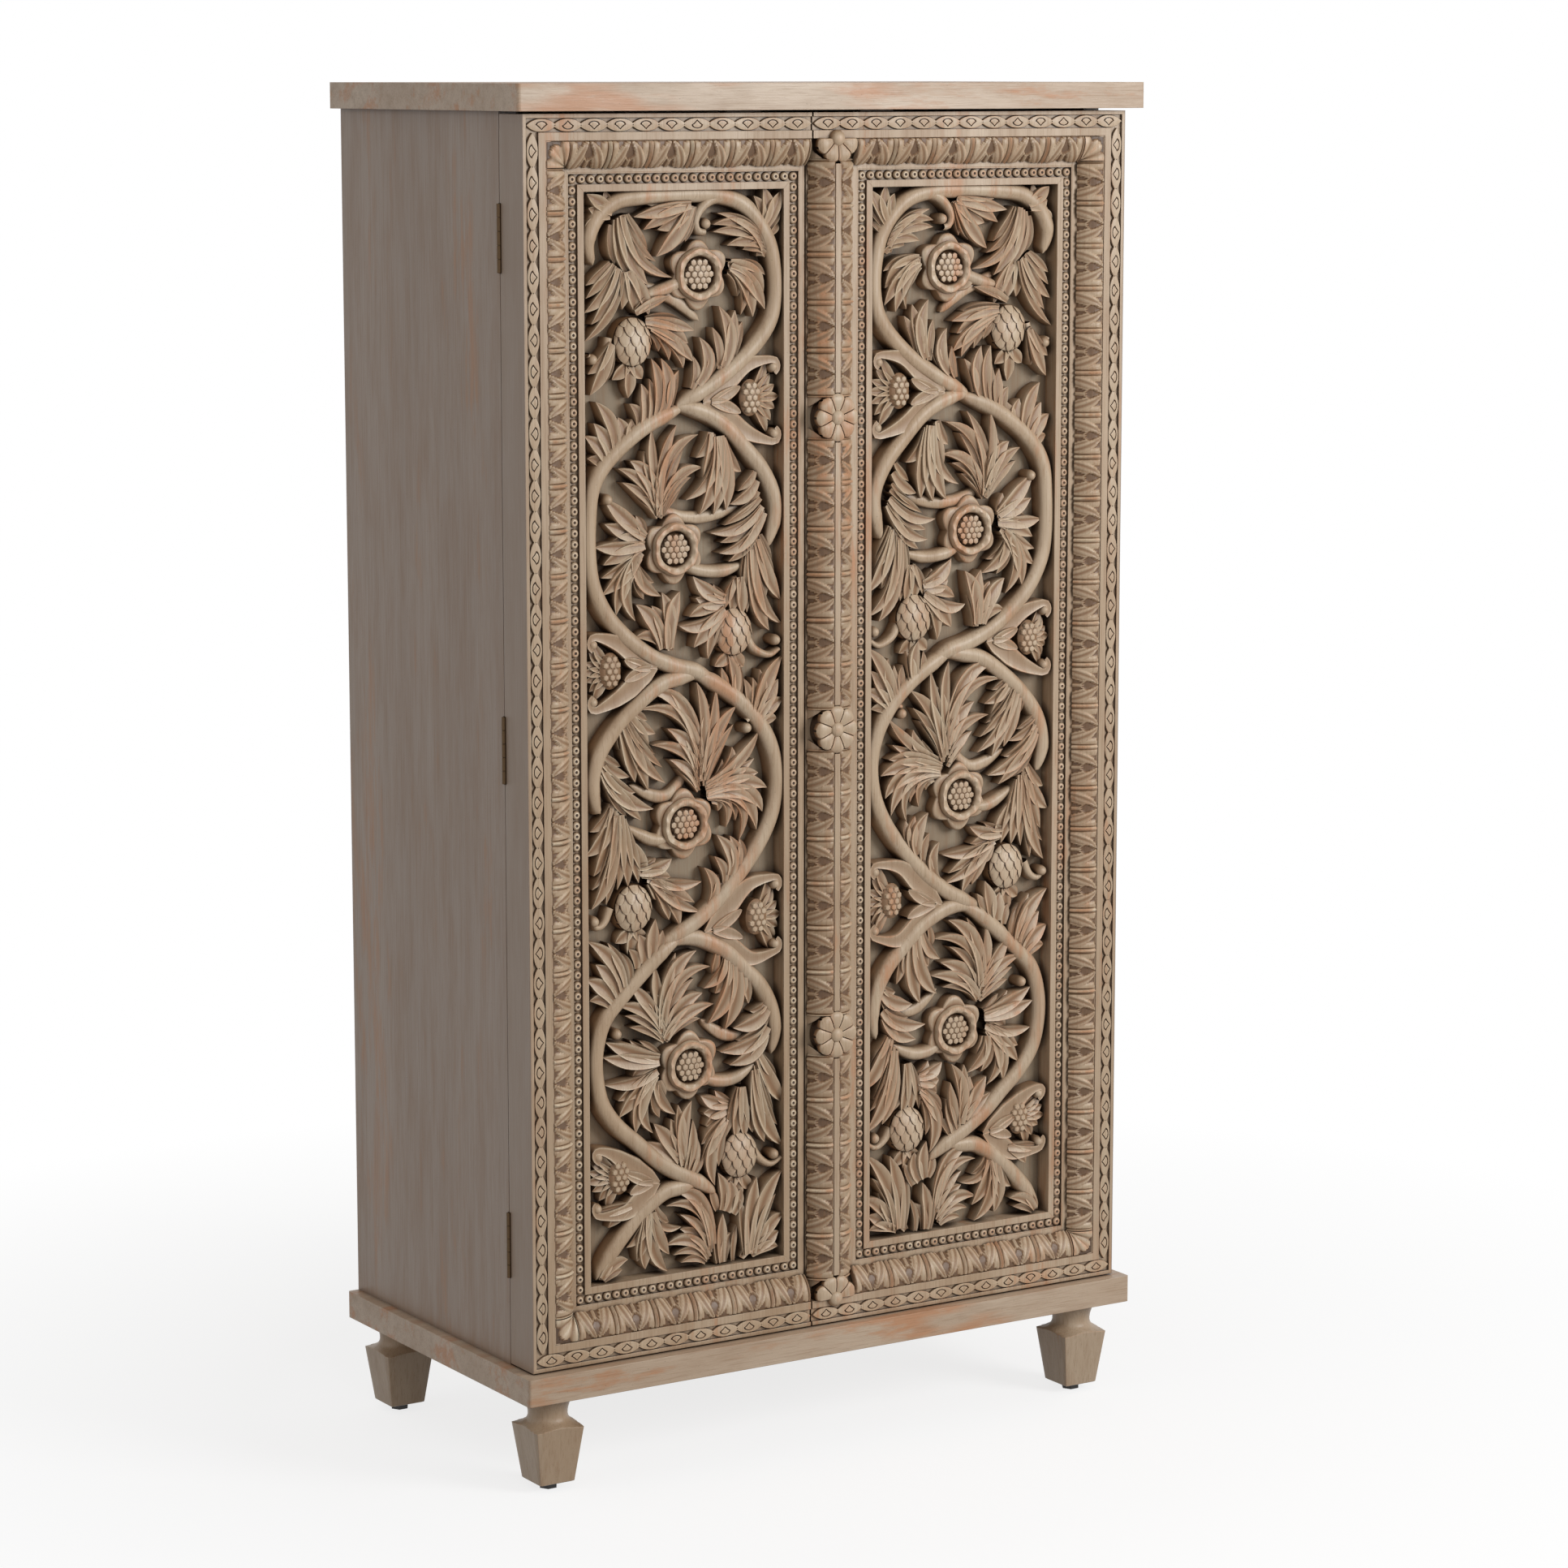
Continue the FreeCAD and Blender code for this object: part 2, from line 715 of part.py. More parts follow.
meeting_stile("left_meeting_stile", "-", left_seam, left_mortises)
meeting_stile("right_meeting_stile", "+", right_seam, right_mortises)


# Rails, stepped over the stiles and tenoned into them
def rail(position, edge, way):
    def reach(depth):
        """From the door's edge to a depth inwards, low end first."""
        far = f"{edge} {way} {depth}"
        return (edge, far) if way == "+" else (far, edge)

    blank = body(f"{position}_rail_blank")
    front_x = (f"{outer_edge} + {shoulder}", "-meeting_shoulder")
    section = sketch_on(blank, "YZ_Plane", front_x[0])
    outline(section, band(edge, way))
    pad(blank, section, f"{front_x[1]} - ({front_x[0]})")
    for depth, x, y in (
        (opening_edge, (outer_opening_x, f"-{meeting_opening}"), (tongue_front, tongue_back)),
        (rabbet_edge, (f"{outer_edge} + {rabbet_edge}", f"-{meeting_rabbet}"), (tongue_back, door_back)),
    ):
        layer = sketch_on(blank, "YZ_Plane", x[0])
        outline(layer, rectangle(y, reach(depth)))
        pad(blank, layer, f"{x[1]} - ({x[0]})")
    groove = sketch_on(blank, "XZ_Plane", f"-{door_face}")
    near = f"{edge} {way} edge_strip_width"
    far = f"{edge} {way} {channel_end}"
    outline(groove, rectangle(front_x, (near, far)))
    pocket(blank, groove, "chain_channel_depth")
    tenons = [
        tenon(f"{position}_outer_tenon", outer_tenon_x, edge, way),
        tenon(f"{position}_meeting_tenon", meeting_tenon_x, edge, way),
    ]
    whole = fuse(f"left_{position}_rail", [blank] + tenons)
    node(whole, f"left_{position}_rail")
    node(mirror(f"right_{position}_rail", whole), f"right_{position}_rail")


for position, (edge, way) in rail_edges.items():
    rail(position, edge, way)

# Bead strips, mitred round the opening, each with its sunk channel
outer_x = (f"({outer_edge} + {shoulder})", outer_opening_x)
meeting_x = ("-meeting_shoulder", f"-{meeting_opening}")
low_z = (f"({door_bottom} + {shoulder})", f"({door_bottom} + {opening_edge})")
high_z = (f"({door_top} - {shoulder})", f"({door_top} - {opening_edge})")


def bead_strip(position, corners, channel):
    strip = body(f"left_{position}_bead_strip")
    plan = sketch_on(strip, "XZ_Plane", f"-{tongue_front}")
    outline(plan, corners)
    pad(strip, plan, "bead_strip_thickness")
    groove = sketch_on(strip, "XZ_Plane", f"-{step_face}")
    outline(groove, channel)
    pocket(strip, groove, "bead_channel_depth")
    node(strip, f"left_{position}_bead_strip")
    node(mirror(f"right_{position}_bead_strip", strip), f"right_{position}_bead_strip")


def channel_between(edge, way):
    """The near and far side of a bead channel inside an edge."""
    return (f"{edge} {way} bead_lip_width", f"{edge} {way} (bead_lip_width + bead_channel_width)")


bead_strip(
    "outer",
    [(outer_x[0], low_z[0]), (outer_x[1], low_z[1]), (outer_x[1], high_z[1]), (outer_x[0], high_z[0])],
    rectangle(channel_between(outer_x[0], "+"), (low_z[0], high_z[0])),
)
bead_strip(
    "inner",
    [
        (meeting_x[0], low_z[0]),
        (meeting_x[0], high_z[0]),
        (meeting_x[1], high_z[1]),
        (meeting_x[1], low_z[1]),
    ],
    rectangle(channel_between(meeting_x[0], "-"), (low_z[0], high_z[0])),
)
bead_strip(
    "bottom",
    [(outer_x[0], low_z[0]), (meeting_x[0], low_z[0]), (meeting_x[1], low_z[1]), (outer_x[1], low_z[1])],
    rectangle((outer_x[0], meeting_x[0]), channel_between(low_z[0], "+")),
)
bead_strip(
    "top",
    [
        (outer_x[0], high_z[0]),
        (outer_x[1], high_z[1]),
        (meeting_x[1], high_z[1]),
        (meeting_x[0], high_z[0]),
    ],
    rectangle((outer_x[0], meeting_x[0]), channel_between(high_z[0], "-")),
)

# Backing panels in the rabbets
panel = board(
    "left_panel",
    (f"{outer_edge} + {rabbet_edge} + panel_clearance", f"-{meeting_rabbet} - panel_clearance"),
    (tongue_back, f"{tongue_back} + panel_thickness"),
    (f"{door_bottom} + {rabbet_edge} + panel_clearance", f"{door_top} - {rabbet_edge} - panel_clearance"),
)
node(panel, "left_backing_panel")
node(mirror("right_panel", panel), "right_backing_panel")

# Pierced fret: one sawn and carved board behind the opening.
# Its drawing is set out from the opening's lower outer corner in shares of the opening:
# hundredths of its width across, and as many parts of its height up as grid_up says.
# Widths and radii are drawn in the same shares, so the whole drawing stretches with the opening.
grid_across = 100
grid_up = 476
stem_width_share = 6.7
stem_crown_width_share = 3.8
flower_radius_share = 15
flower_notch_radius_share = 11.2
flower_dome_radius_share = 8.5
cone_radius_share = 10
cone_crown_radius_share = 6.5
ball_radius_share = 3.1
tendril_width_share = 3.5

stem_shares = [
    # Top scroll, from its end round to the first fork
    [(6, 445), (4, 455), (9, 465), (18, 472), (28, 474), (65, 474), (78, 471), (89, 462),
     (96, 448), (97, 434), (94, 418), (86, 408), (62, 391), (46, 383)],
    # Second scroll: both branches of the first fork
    [(46, 383), (52, 383), (62, 380), (72, 374), (82, 364), (90, 355), (96, 344), (97, 334), (93, 320)],
    [(46, 383), (36, 378), (24, 371), (11, 360), (4, 346), (2, 328), (5, 309), (11, 296),
     (20, 286), (32, 277), (45, 271), (68, 262)],
    # Third scroll
    [(62, 264), (78, 254), (88, 244), (95, 232), (98, 218), (96, 204), (90, 191), (80, 178), (68, 166),
     (56, 157), (42, 149)],
    [(62, 267), (50, 266), (38, 263), (26, 255), (15, 245), (7, 234), (4, 222), (6, 210)],
    # Fourth scroll
    [(42, 149), (58, 149), (70, 143), (80, 134), (89, 125), (95, 114), (97, 103), (95, 93)],
    [(42, 149), (30, 138), (18, 127), (9, 116), (4, 98), (8, 80), (15, 70), (25, 61),
     (35, 52), (46, 45), (66, 33)],
]
stalk_shares = [
    [(70, 474), (60, 470), (57, 461)],
    [(50, 41), (30, 31), (11, 12), (4, 2)],
    [(56, 438), (42, 433), (26, 430)],
    [(50, 313), (70, 311), (82, 313)],
    [(44, 196), (28, 198), (20, 203)],
    [(56, 88), (74, 84), (84, 88)],
]
flower_shares = [(58, 440), (45.5, 322), (50, 201), (52, 92.5)]
cone_shares = [(25, 412), (75.5, 284), (24, 166), (78, 49)]

# Balls on tendrils: where each tendril starts, and its ball
tendril_shares = [
    ((57, 464), (61, 462)),
    ((20, 409), (5, 405)),
    ((80, 282), (97, 279)),
    ((20, 164), (4, 162)),
    ((82, 49), (96, 47)),
    ((3, 343), (12, 345)),
    ((89, 245), (82, 241)),
    ((8, 113), (15, 111)),
]

# Leaves: the root first, then the tips of the fingers
leaf_shares = [
    # Top scroll
    [(17, 470), (38, 450), (44, 438), (33, 436)],
    [(16, 468), (14, 455), (17, 445), (22, 440)],
    [(56, 470), (33, 469), (27, 465), (35, 459), (38, 448), (48, 452), (52, 455)],
    [(94, 452), (68, 465), (66, 460), (75, 453), (84, 449)],
    [(68, 442), (93, 441), (91, 433), (92, 422), (80, 423)],
    [(7, 447), (-1, 437), (0, 425), (3, 412)],
    [(28, 430), (46, 432), (56, 420), (55, 406), (48, 398)],
    [(86, 406), (69, 424), (80, 424)],
    [(72, 396), (57, 409), (66, 409)],
    [(46, 384), (35, 404), (46, 402), (30, 394), (25, 384)],
    [(22, 371), (8, 387), (18, 379), (2, 372), (4, 362)],
    [(17, 408), (4, 398), (3, 390), (12, 395)],
    [(14, 466), (3, 467), (3, 476), (10, 476), (15, 476)],
    [(90, 460), (89, 474), (96, 476), (100, 470), (99, 460)],
    # Second scroll
    [(44, 328), (22, 347), (20, 360), (33, 370), (46, 375), (57, 371), (62, 358)],
    [(36, 325), (12, 337), (7, 325), (8, 309), (16, 295), (25, 293), (36, 308)],
    [(70, 372), (57, 362), (53, 341), (60, 337), (70, 337), (80, 354)],
    [(94, 338), (75, 341), (65, 327), (70, 320), (73, 315)],
    [(88, 324), (97, 312), (101, 297), (98, 286)],
    [(76, 297), (55, 308), (57, 300), (48, 288), (57, 279), (62, 273)],
    [(42, 273), (27, 298), (38, 303), (47, 302), (27, 285)],
    [(66, 262), (72, 274), (79, 268)],
    [(84, 250), (98, 272), (98, 262), (100, 253), (98, 243)],
    # Third scroll
    [(57, 210), (44, 255), (34, 256), (28, 246), (36, 230)],
    [(54, 206), (56, 262), (66, 258), (76, 251)],
    [(60, 208), (85, 228), (91, 217), (91, 204), (88, 195), (78, 190)],
    [(18, 249), (35, 238), (40, 228), (36, 219), (26, 218)],
    [(7, 225), (18, 229), (22, 223), (32, 212), (27, 205)],
    [(10, 212), (3, 202), (1, 190), (3, 172), (10, 170)],
    [(28, 180), (44, 186), (58, 175), (58, 161), (48, 156), (40, 156)],
    [(80, 177), (68, 194), (74, 192), (79, 190)],
    [(66, 164), (60, 179), (65, 172)],
    [(42, 149), (30, 162), (35, 160), (39, 160)],
    [(20, 128), (2, 153), (11, 150), (2, 136), (3, 125)],
    # Fourth scroll
    [(44, 98), (16, 118), (24, 128), (35, 137), (47, 142), (60, 138), (66, 118)],
    [(44, 95), (23, 106), (10, 101), (9, 88), (16, 79), (24, 67), (33, 65), (45, 72)],
    [(72, 140), (60, 126), (63, 111), (71, 108), (80, 118)],
    [(95, 110), (75, 109), (68, 98), (76, 90)],
    [(92, 94), (99, 82), (101, 68), (99, 51)],
    [(74, 70), (60, 78), (62, 69), (59, 48), (64, 37)],
    [(48, 43), (32, 60), (35, 67), (43, 74), (53, 75), (57, 60)],
    [(30, 32), (20, 15), (24, 9), (34, 3), (40, 12)],
    [(60, 2), (44, 4), (40, 13), (41, 27), (55, 30), (64, 26)],
    [(85, 2), (97, 4), (98, 12), (100, 38), (87, 37), (74, 22), (56, 6)],
    [(11, 10), (2, 10), (2, 2), (20, 2)],
    # Calyx above each cone, and the tuft below it
    [(19, 443), (15, 408), (28, 406), (40, 426)],
    [(84, 312), (66, 280), (82, 276), (92, 292)],
    [(14, 200), (16, 164), (28, 162), (36, 178)],
    [(84, 87), (68, 48), (84, 45), (92, 58)],
    [(25, 408), (17, 394), (25, 387), (33, 394)],
    [(75, 280), (67, 268), (75, 260), (83, 267)],
    [(24, 162), (16, 148), (24, 141), (32, 148)],
    [(78, 45), (70, 32), (78, 24), (86, 31)],
    # Husks in the forks, between the two branches of each
    [(58, 385), (84, 404), (95, 406), (94, 396), (100, 386), (94, 376), (95, 363), (84, 366)],
    [(36, 271), (16, 289), (5, 290), (6, 283), (0, 270), (6, 259), (5, 254), (17, 255)],
    [(60, 151), (84, 176), (94, 179), (94, 170), (100, 156), (94, 143), (95, 132), (82, 134)],
    [(38, 42), (20, 64), (3, 64), (5, 55), (0, 46), (4, 36), (8, 24), (24, 26)],
]
notch_share = 0.7
petal_places = 6
dome_crown_share = 0.6
ball_sides = 6


def drawn(place):
    """A place of the drawing, across and up."""
    across, up = place
    return FreeCAD.Vector(across, 0, up)


def on_board(point, height=0):
    """Where a point of the drawing lies, at a height in front of the backing panel."""
    return FreeCAD.Vector(
        opening_left + opening_width * point.x / grid_across,
        board_back - height,
        opening_low + opening_height * point.z / grid_up,
    )


def flat_face(points):
    """A face inside straight sides drawn on the board, which looks to the front."""
    around = sum((a.cross(b) for a, b in zip(points, points[1:] + points[:1])), FreeCAD.Vector())
    if around.dot(towards_front) < 0:
        points = points[::-1]
    corners = [on_board(point) for point in points]
    return Part.Face(Part.makePolygon(corners + corners[:1]))


def turned(direction):
    """A direction turned a quarter turn in the plane of the board."""
    return FreeCAD.Vector(-direction.z, 0, direction.x)


def stem_face(places, width):
    """A ribbon of even width along a line of short straight cuts through the places."""
    points = [drawn(place) for place in places]
    left, right = [], []
    for index, point in enumerate(points):
        before = points[max(index - 1, 0)]
        after = points[min(index + 1, len(points) - 1)]
        aside = turned(after - before).normalize() * width / 2
        left.append(point + aside)
        right.append(point - aside)
    return flat_face(left + right[::-1])


def leaf_face(places):
    """A leaf whose fingers spread from its root, notched between the tips."""
    root, *tips = [drawn(place) for place in places]
    middle_tip = sum(tips, FreeCAD.Vector()) / len(tips)
    ahead = middle_tip - root
    sideways = turned(ahead)

    def bearing(tip):
        return math.atan2((tip - root).dot(sideways), (tip - root).dot(ahead))

    tips.sort(key=bearing)
    points = [root]
    for index, tip in enumerate(tips):
        if index:
            between = (tip + tips[index - 1]) / 2
            points.append(root + (between - root) * notch_share)
        points.append(tip)
    return flat_face(points)


def ring(place, radii, count):
    """Corners at even angles round a place, whose radii are taken in turn."""
    centre = drawn(place)
    points = []
    for index in range(count):
        angle = 2 * math.pi * index / count
        reach = radii[index % len(radii)]
        points.append(centre + FreeCAD.Vector(math.sin(angle), 0, math.cos(angle)) * reach)
    return points


def tendril_face(root, ball):
    """A straight tendril from its root to the middle of its ball."""
    start, end = drawn(root), drawn(ball)
    aside = turned(end - start).normalize() * tendril_width_share / 2
    return flat_face([start + aside, end + aside, end - aside, start - aside])


def united(faces):
    """Flat faces joined, without the seams between them."""
    pieces = faces[0].multiFuse(faces[1:]).Faces
    return Part.makeShell(pieces).removeSplitter()


def boss(place, radius, crown_radius, start, height):
    """A low faceted boss on the front of the board."""
    foot_ring = [on_board(point, start) for point in ring(place, [radius], small_sides)]
    crown_ring = [on_board(point, start + height) for point in ring(place, [crown_radius], small_sides)]
    rings = [foot_ring, crown_ring]
    sides = []
    for index in range(small_sides):
        low = [corners[index - 1] for corners in rings]
        high = [corners[index] for corners in rings]
        corners = low + high[::-1]
        sides.append(Part.Face(Part.makePolygon(corners + corners[:1])))
    ends = [Part.Face(Part.makePolygon(corners + corners[:1])) for corners in rings]
    return Part.makeSolid(Part.makeShell(sides + ends))


towards_front = FreeCAD.Vector(0, -1, 0)
board_back = value(tongue_back)
opening_left = value(outer_opening_x)
opening_width = -value(meeting_opening) - opening_left
opening_low = value(f"{door_bottom} + {opening_edge}")
opening_height = value(f"{door_top} - {opening_edge}") - opening_low
crest = value(f"{tongue_back} - {door_face} - fret_crest_depth")
leaf_thickness = crest - value("leaf_relief")

opening_corners = ((0, 0), (grid_across, 0), (grid_across, grid_up), (0, grid_up))
opening_face = flat_face([drawn(place) for place in opening_corners])
petal_radii = [flower_radius_share, flower_notch_radius_share]
ribbons = [stem_face(places, stem_width_share) for places in stem_shares]
stalks = [stem_face(places, stem_width_share) for places in stalk_shares]
leaves = [leaf_face(places) for places in leaf_shares]
flowers = [flat_face(ring(place, petal_radii, petal_places * 2)) for place in flower_shares]
cones = [flat_face(ring(place, [cone_radius_share], small_sides)) for place in cone_shares]
tendrils = [tendril_face(root, ball) for root, ball in tendril_shares]
balls = [flat_face(ring(ball, [ball_radius_share], ball_sides)) for root, ball in tendril_shares]
silhouette = united(ribbons + stalks + leaves + flowers + cones + tendrils + balls)
silhouette = silhouette.common(opening_face)
crowns = united([stem_face(places, stem_crown_width_share) for places in stem_shares])
crowns = crowns.common(opening_face)

layers = [face.extrude(towards_front * leaf_thickness) for face in silhouette.Faces]
for face in crowns.Faces:
    raised = face.extrude(towards_front * (crest - leaf_thickness))
    raised.translate(towards_front * leaf_thickness)
    layers.append(raised)
for place in flower_shares:
    radius = flower_dome_radius_share
    height = value("leaf_relief + flower_dome_rise")
    layers.append(boss(place, radius, radius * dome_crown_share, leaf_thickness, height))
for place in cone_shares:
    height = value("leaf_relief")
    layers.append(boss(place, cone_radius_share, cone_crown_radius_share, leaf_thickness, height))
fret_shape = layers[0].multiFuse(layers[1:]).removeSplitter()
left_fret = doc.addObject("Part::Feature", "left_fret")
left_fret.Shape = Part.makeCompound(fret_shape.Solids)
left_fret.Placement = FreeCAD.Placement()
node(left_fret, "left_fret")
node(mirror("right_fret", left_fret), "right_fret")

# Rosettes: eight petals round a domed button
rosette_heights = {
    "bottom": f"({door_bottom} + {flat_end})",
    "low": f"({body_bottom} + rosette_low_height)",
    "middle": f"({body_bottom} + rosette_middle_height)",
    "high": f"({body_bottom} + rosette_high_height)",
    "top": f"({door_top} - {flat_end})",
}
petal_count = 8
half_turn_share = 0.5
shoulder_share = 0.8
rosette_face = f"({door_face} - petal_rise)"


def faceted_stud(owner, centre, radius, rise, sides=small_sides, turn=0):
    """A many-sided stud round a rosette's middle, from the step to a rise over the face,
    turned by a share of one side."""
    plan = sketch_on(owner, "XZ_Plane", f"-{step_face}", "0", centre)
    corners = []
    for index in range(sides):
        angle = f"{360 * (index + turn) / sides} deg"
        corners.append((f"{radius} * cos({angle})", f"{radius} * sin({angle})"))
    outline(plan, corners)
    return pad(owner, plan, f"step_depth + {rise}")


def rosette(level, centre):
    flower = body(f"{level}_rosette")
    petal = sketch_on(flower, "XZ_Plane", f"-{step_face}", "0", centre)
    shoulder_radius = f"rosette_radius * {shoulder_share}"
    outline(petal, [
        ("-petal_root_width / 2", "0"),
        ("petal_root_width / 2", "0"),
        ("petal_tip_width / 2", shoulder_radius),
        ("petal_tip_width / 4", "rosette_radius"),
        ("-petal_tip_width / 4", "rosette_radius"),
        ("-petal_tip_width / 2", shoulder_radius),
    ])
    first = pad(flower, petal, f"{step_face} - {rosette_face}")
    doc.recompute()
    spread = flower.newObject("PartDesign::PolarPattern", f"{level}_petals")
    spread.Originals = [first]
    spread.Axis = (petal, ["N_Axis"])
    spread.Angle = 360
    spread.Occurrences = petal_count
    flower.Tip = spread
    doc.recompute()
    faceted_stud(flower, centre, "button_radius", "button_rise * 2 / 3")
    flower.Tip = faceted_stud(flower, centre, "button_crown_radius", "button_rise")
    return flower


# The top and bottom rosettes are halves that stop at the flat strip
reach = ("-rosette_radius", "rosette_radius")
depth = (f"{door_face} - button_rise", step_face)
rosettes = []
for level, centre in rosette_heights.items():
    flower = rosette(level, centre)
    if level == "bottom":
        hidden = board("bottom_half", reach, depth, (f"{centre} - rosette_radius", centre))
        flower = cut("bottom_half_rosette", flower, hidden)
    if level == "top":
        hidden = board("top_half", reach, depth, (centre, f"{centre} + rosette_radius"))
        flower = cut("top_half_rosette", flower, hidden)
    rosettes.append(flower)
node(group("rosettes", rosettes), "astragal_rosettes")

# Astragal in lengths between the rosettes
strip_half = "astragal_strip_width / 2"
strip_face = f"{door_face} - astragal_strip_rise"
strip_foot = f"{door_face} - astragal_strip_rise + quirk_depth"
moulding = body("astragal_moulding")
section = sketch_on(moulding, "XY_Plane", f"{door_bottom} + {flat_end}")
outline(section, [
    ("-astragal_half_width", step_face, "leaf_band_radius * -1"),
    (f"-{strip_half}", strip_foot),
    (f"-{strip_half}", strip_face),
    (strip_half, strip_face),
    (strip_half, strip_foot, "leaf_band_radius * -1"),
    ("astragal_half_width", step_face),
])
pad(moulding, section, f"{door_top} - {door_bottom} - 2 * {flat_end}")
seats = []
for level, centre in rosette_heights.items():
    seat = body(f"{level}_seat")
    facet_half_angle = f"180 deg / {petal_count}"
    seat_radius = f"(rosette_radius + rosette_clearance) / cos({facet_half_angle})"
    faceted_stud(seat, centre, seat_radius, "button_rise", petal_count, half_turn_share)
    seats.append(seat)
node(cut("astragal", moulding, group("rosette_seats", seats)), "astragal")

doc.recompute()

# Check every object before anything is written
faults = []
for thing in doc.Objects:
    if "Invalid" in thing.State or "Error" in thing.State:
        faults.append(f"{thing.Label}: {thing.State}")
for piece in nodes:
    if piece.Shape.isNull() or not piece.Shape.isValid():
        faults.append(f"{piece.Label}: shape")
if faults:
    raise RuntimeError("; ".join(faults))

os.makedirs("parts", exist_ok=True)
for piece in nodes:
    piece.Shape.exportStep(f"parts/{piece.Label}.step")
print(len(nodes), "nodes")
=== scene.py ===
import math
import random

import bpy
import numpy as np
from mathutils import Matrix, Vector


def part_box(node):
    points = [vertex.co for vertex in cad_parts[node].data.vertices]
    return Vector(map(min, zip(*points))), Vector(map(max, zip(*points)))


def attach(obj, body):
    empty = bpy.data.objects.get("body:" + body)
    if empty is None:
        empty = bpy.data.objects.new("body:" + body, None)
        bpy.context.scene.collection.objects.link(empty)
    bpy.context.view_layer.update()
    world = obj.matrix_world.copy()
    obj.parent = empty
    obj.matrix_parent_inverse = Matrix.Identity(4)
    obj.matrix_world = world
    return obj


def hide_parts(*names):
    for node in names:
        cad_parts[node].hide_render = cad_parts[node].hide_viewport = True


# A carved two-door storage cabinet in antiqued paint.
# The carving is drawn flat in millimetres, as (along, across, height above its ground),
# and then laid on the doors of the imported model.

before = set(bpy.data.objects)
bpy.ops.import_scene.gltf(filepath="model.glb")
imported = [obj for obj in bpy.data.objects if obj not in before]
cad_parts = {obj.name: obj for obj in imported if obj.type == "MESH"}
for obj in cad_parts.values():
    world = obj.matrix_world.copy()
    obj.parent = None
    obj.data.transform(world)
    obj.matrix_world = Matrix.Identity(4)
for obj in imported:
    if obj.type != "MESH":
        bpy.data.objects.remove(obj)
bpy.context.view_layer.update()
MM = 0.001
dice = random.Random(11)

# Places taken from the frame, in millimetres
X, Y, Z = 0, 1, 2
LOW, HIGH = 0, 1


def corner(node, end, axis):
    """One coordinate of the low or high corner of a node's box."""
    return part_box(node)[end][axis] / MM


BODY_LOW = corner("left_side_panel", LOW, Z)
DOOR_FACE = corner("left_hinge_stile", LOW, Y)
DOOR_OUTER = corner("left_hinge_stile", LOW, X)
DOOR_LOW = corner("left_hinge_stile", LOW, Z)
DOOR_HIGH = corner("left_hinge_stile", HIGH, Z)
LEFT_SEAM = corner("left_meeting_stile", HIGH, X)
RIGHT_SEAM = corner("right_meeting_stile", LOW, X)
STEP_OUTER = corner("left_outer_bead_strip", LOW, X)
STEP_INNER = corner("left_inner_bead_strip", HIGH, X)
STEP_LOW = corner("left_bottom_bead_strip", LOW, Z)
STEP_HIGH = corner("left_top_bead_strip", HIGH, Z)
OPENING_OUTER = corner("left_outer_bead_strip", HIGH, X)
OPENING_INNER = corner("left_inner_bead_strip", LOW, X)
OPENING_LOW = corner("left_bottom_bead_strip", HIGH, Z)
OPENING_HIGH = corner("left_top_bead_strip", LOW, Z)
OPENING_WIDTH = OPENING_INNER - OPENING_OUTER
OPENING_HEIGHT = OPENING_HIGH - OPENING_LOW
STEP_DEPTH = corner("left_outer_bead_strip", LOW, Y) - DOOR_FACE
FRET_BACK = corner("left_fret", HIGH, Y) - DOOR_FACE

# Bands of the door frame, measured in from its edge
EDGE_STRIP = 4.5
CHANNEL_WIDTH = 15.5
CHANNEL_DEPTH = 3.0
FLAT_STRIP = 9.0
LEAF_BAND = 29.0
LEAF_RADIUS = 30.0
QUIRK = 1.0
BEAD_LIP = 1.5
BEAD_CHANNEL = 11.5
BEAD_CHANNEL_DEPTH = 4.0
CHANNEL_END = EDGE_STRIP + CHANNEL_WIDTH
FLAT_END = CHANNEL_END + FLAT_STRIP
LEAF_END = FLAT_END + LEAF_BAND
ASTRAGAL_STRIP = 7.0
ASTRAGAL_RISE = 5.0
ASTRAGAL_HALF = 28.0


# Lines and rings
def curve_through(places, spacing):
    """Points at even spacing along a smooth curve through the places."""
    p = np.array(places, float)
    p = np.vstack([2 * p[0] - p[1], p, 2 * p[-1] - p[-2]])
    line = []
    for a, b, c, d in zip(p, p[1:], p[2:], p[3:]):
        steps = max(2, round(np.linalg.norm(c - b) / spacing))
        for t in np.arange(steps) / steps:
            line.append(0.5 * (
                2 * b + (c - a) * t + (2 * a - 5 * b + 4 * c - d) * t ** 2
                + (3 * b - a - 3 * c + d) * t ** 3
            ))
    line.append(p[-2])
    return np.array(line)


def bezier(start, bend, end, count):
    """Points along a curve from start to end that is drawn towards the bend."""
    t = np.linspace(0, 1, count)[:, None]
    start, bend, end = np.array(start), np.array(bend), np.array(end)
    return (1 - t) ** 2 * start + 2 * t * (1 - t) * bend + t ** 2 * end


def aside(line):
    """Unit vectors to the left of a line at each of its points."""
    way = np.gradient(line, axis=0)
    way /= np.linalg.norm(way, axis=1)[:, None] + 1e-9
    return np.stack([-way[:, 1], way[:, 0]], axis=-1)


def around(sides):
    """Angles round a whole circle."""
    return np.linspace(0, 2 * math.pi, sides, endpoint=False)


def ring(centre, angle, radius, level, stretch=1.0):
    """Points round a centre, clockwise from the far side. A stretch of -1 turns them the
    other way from the near side."""
    return np.stack([
        centre[0] + radius * np.sin(angle),
        centre[1] + radius * stretch * np.cos(angle),
        level + 0 * angle,
    ], axis=-1)


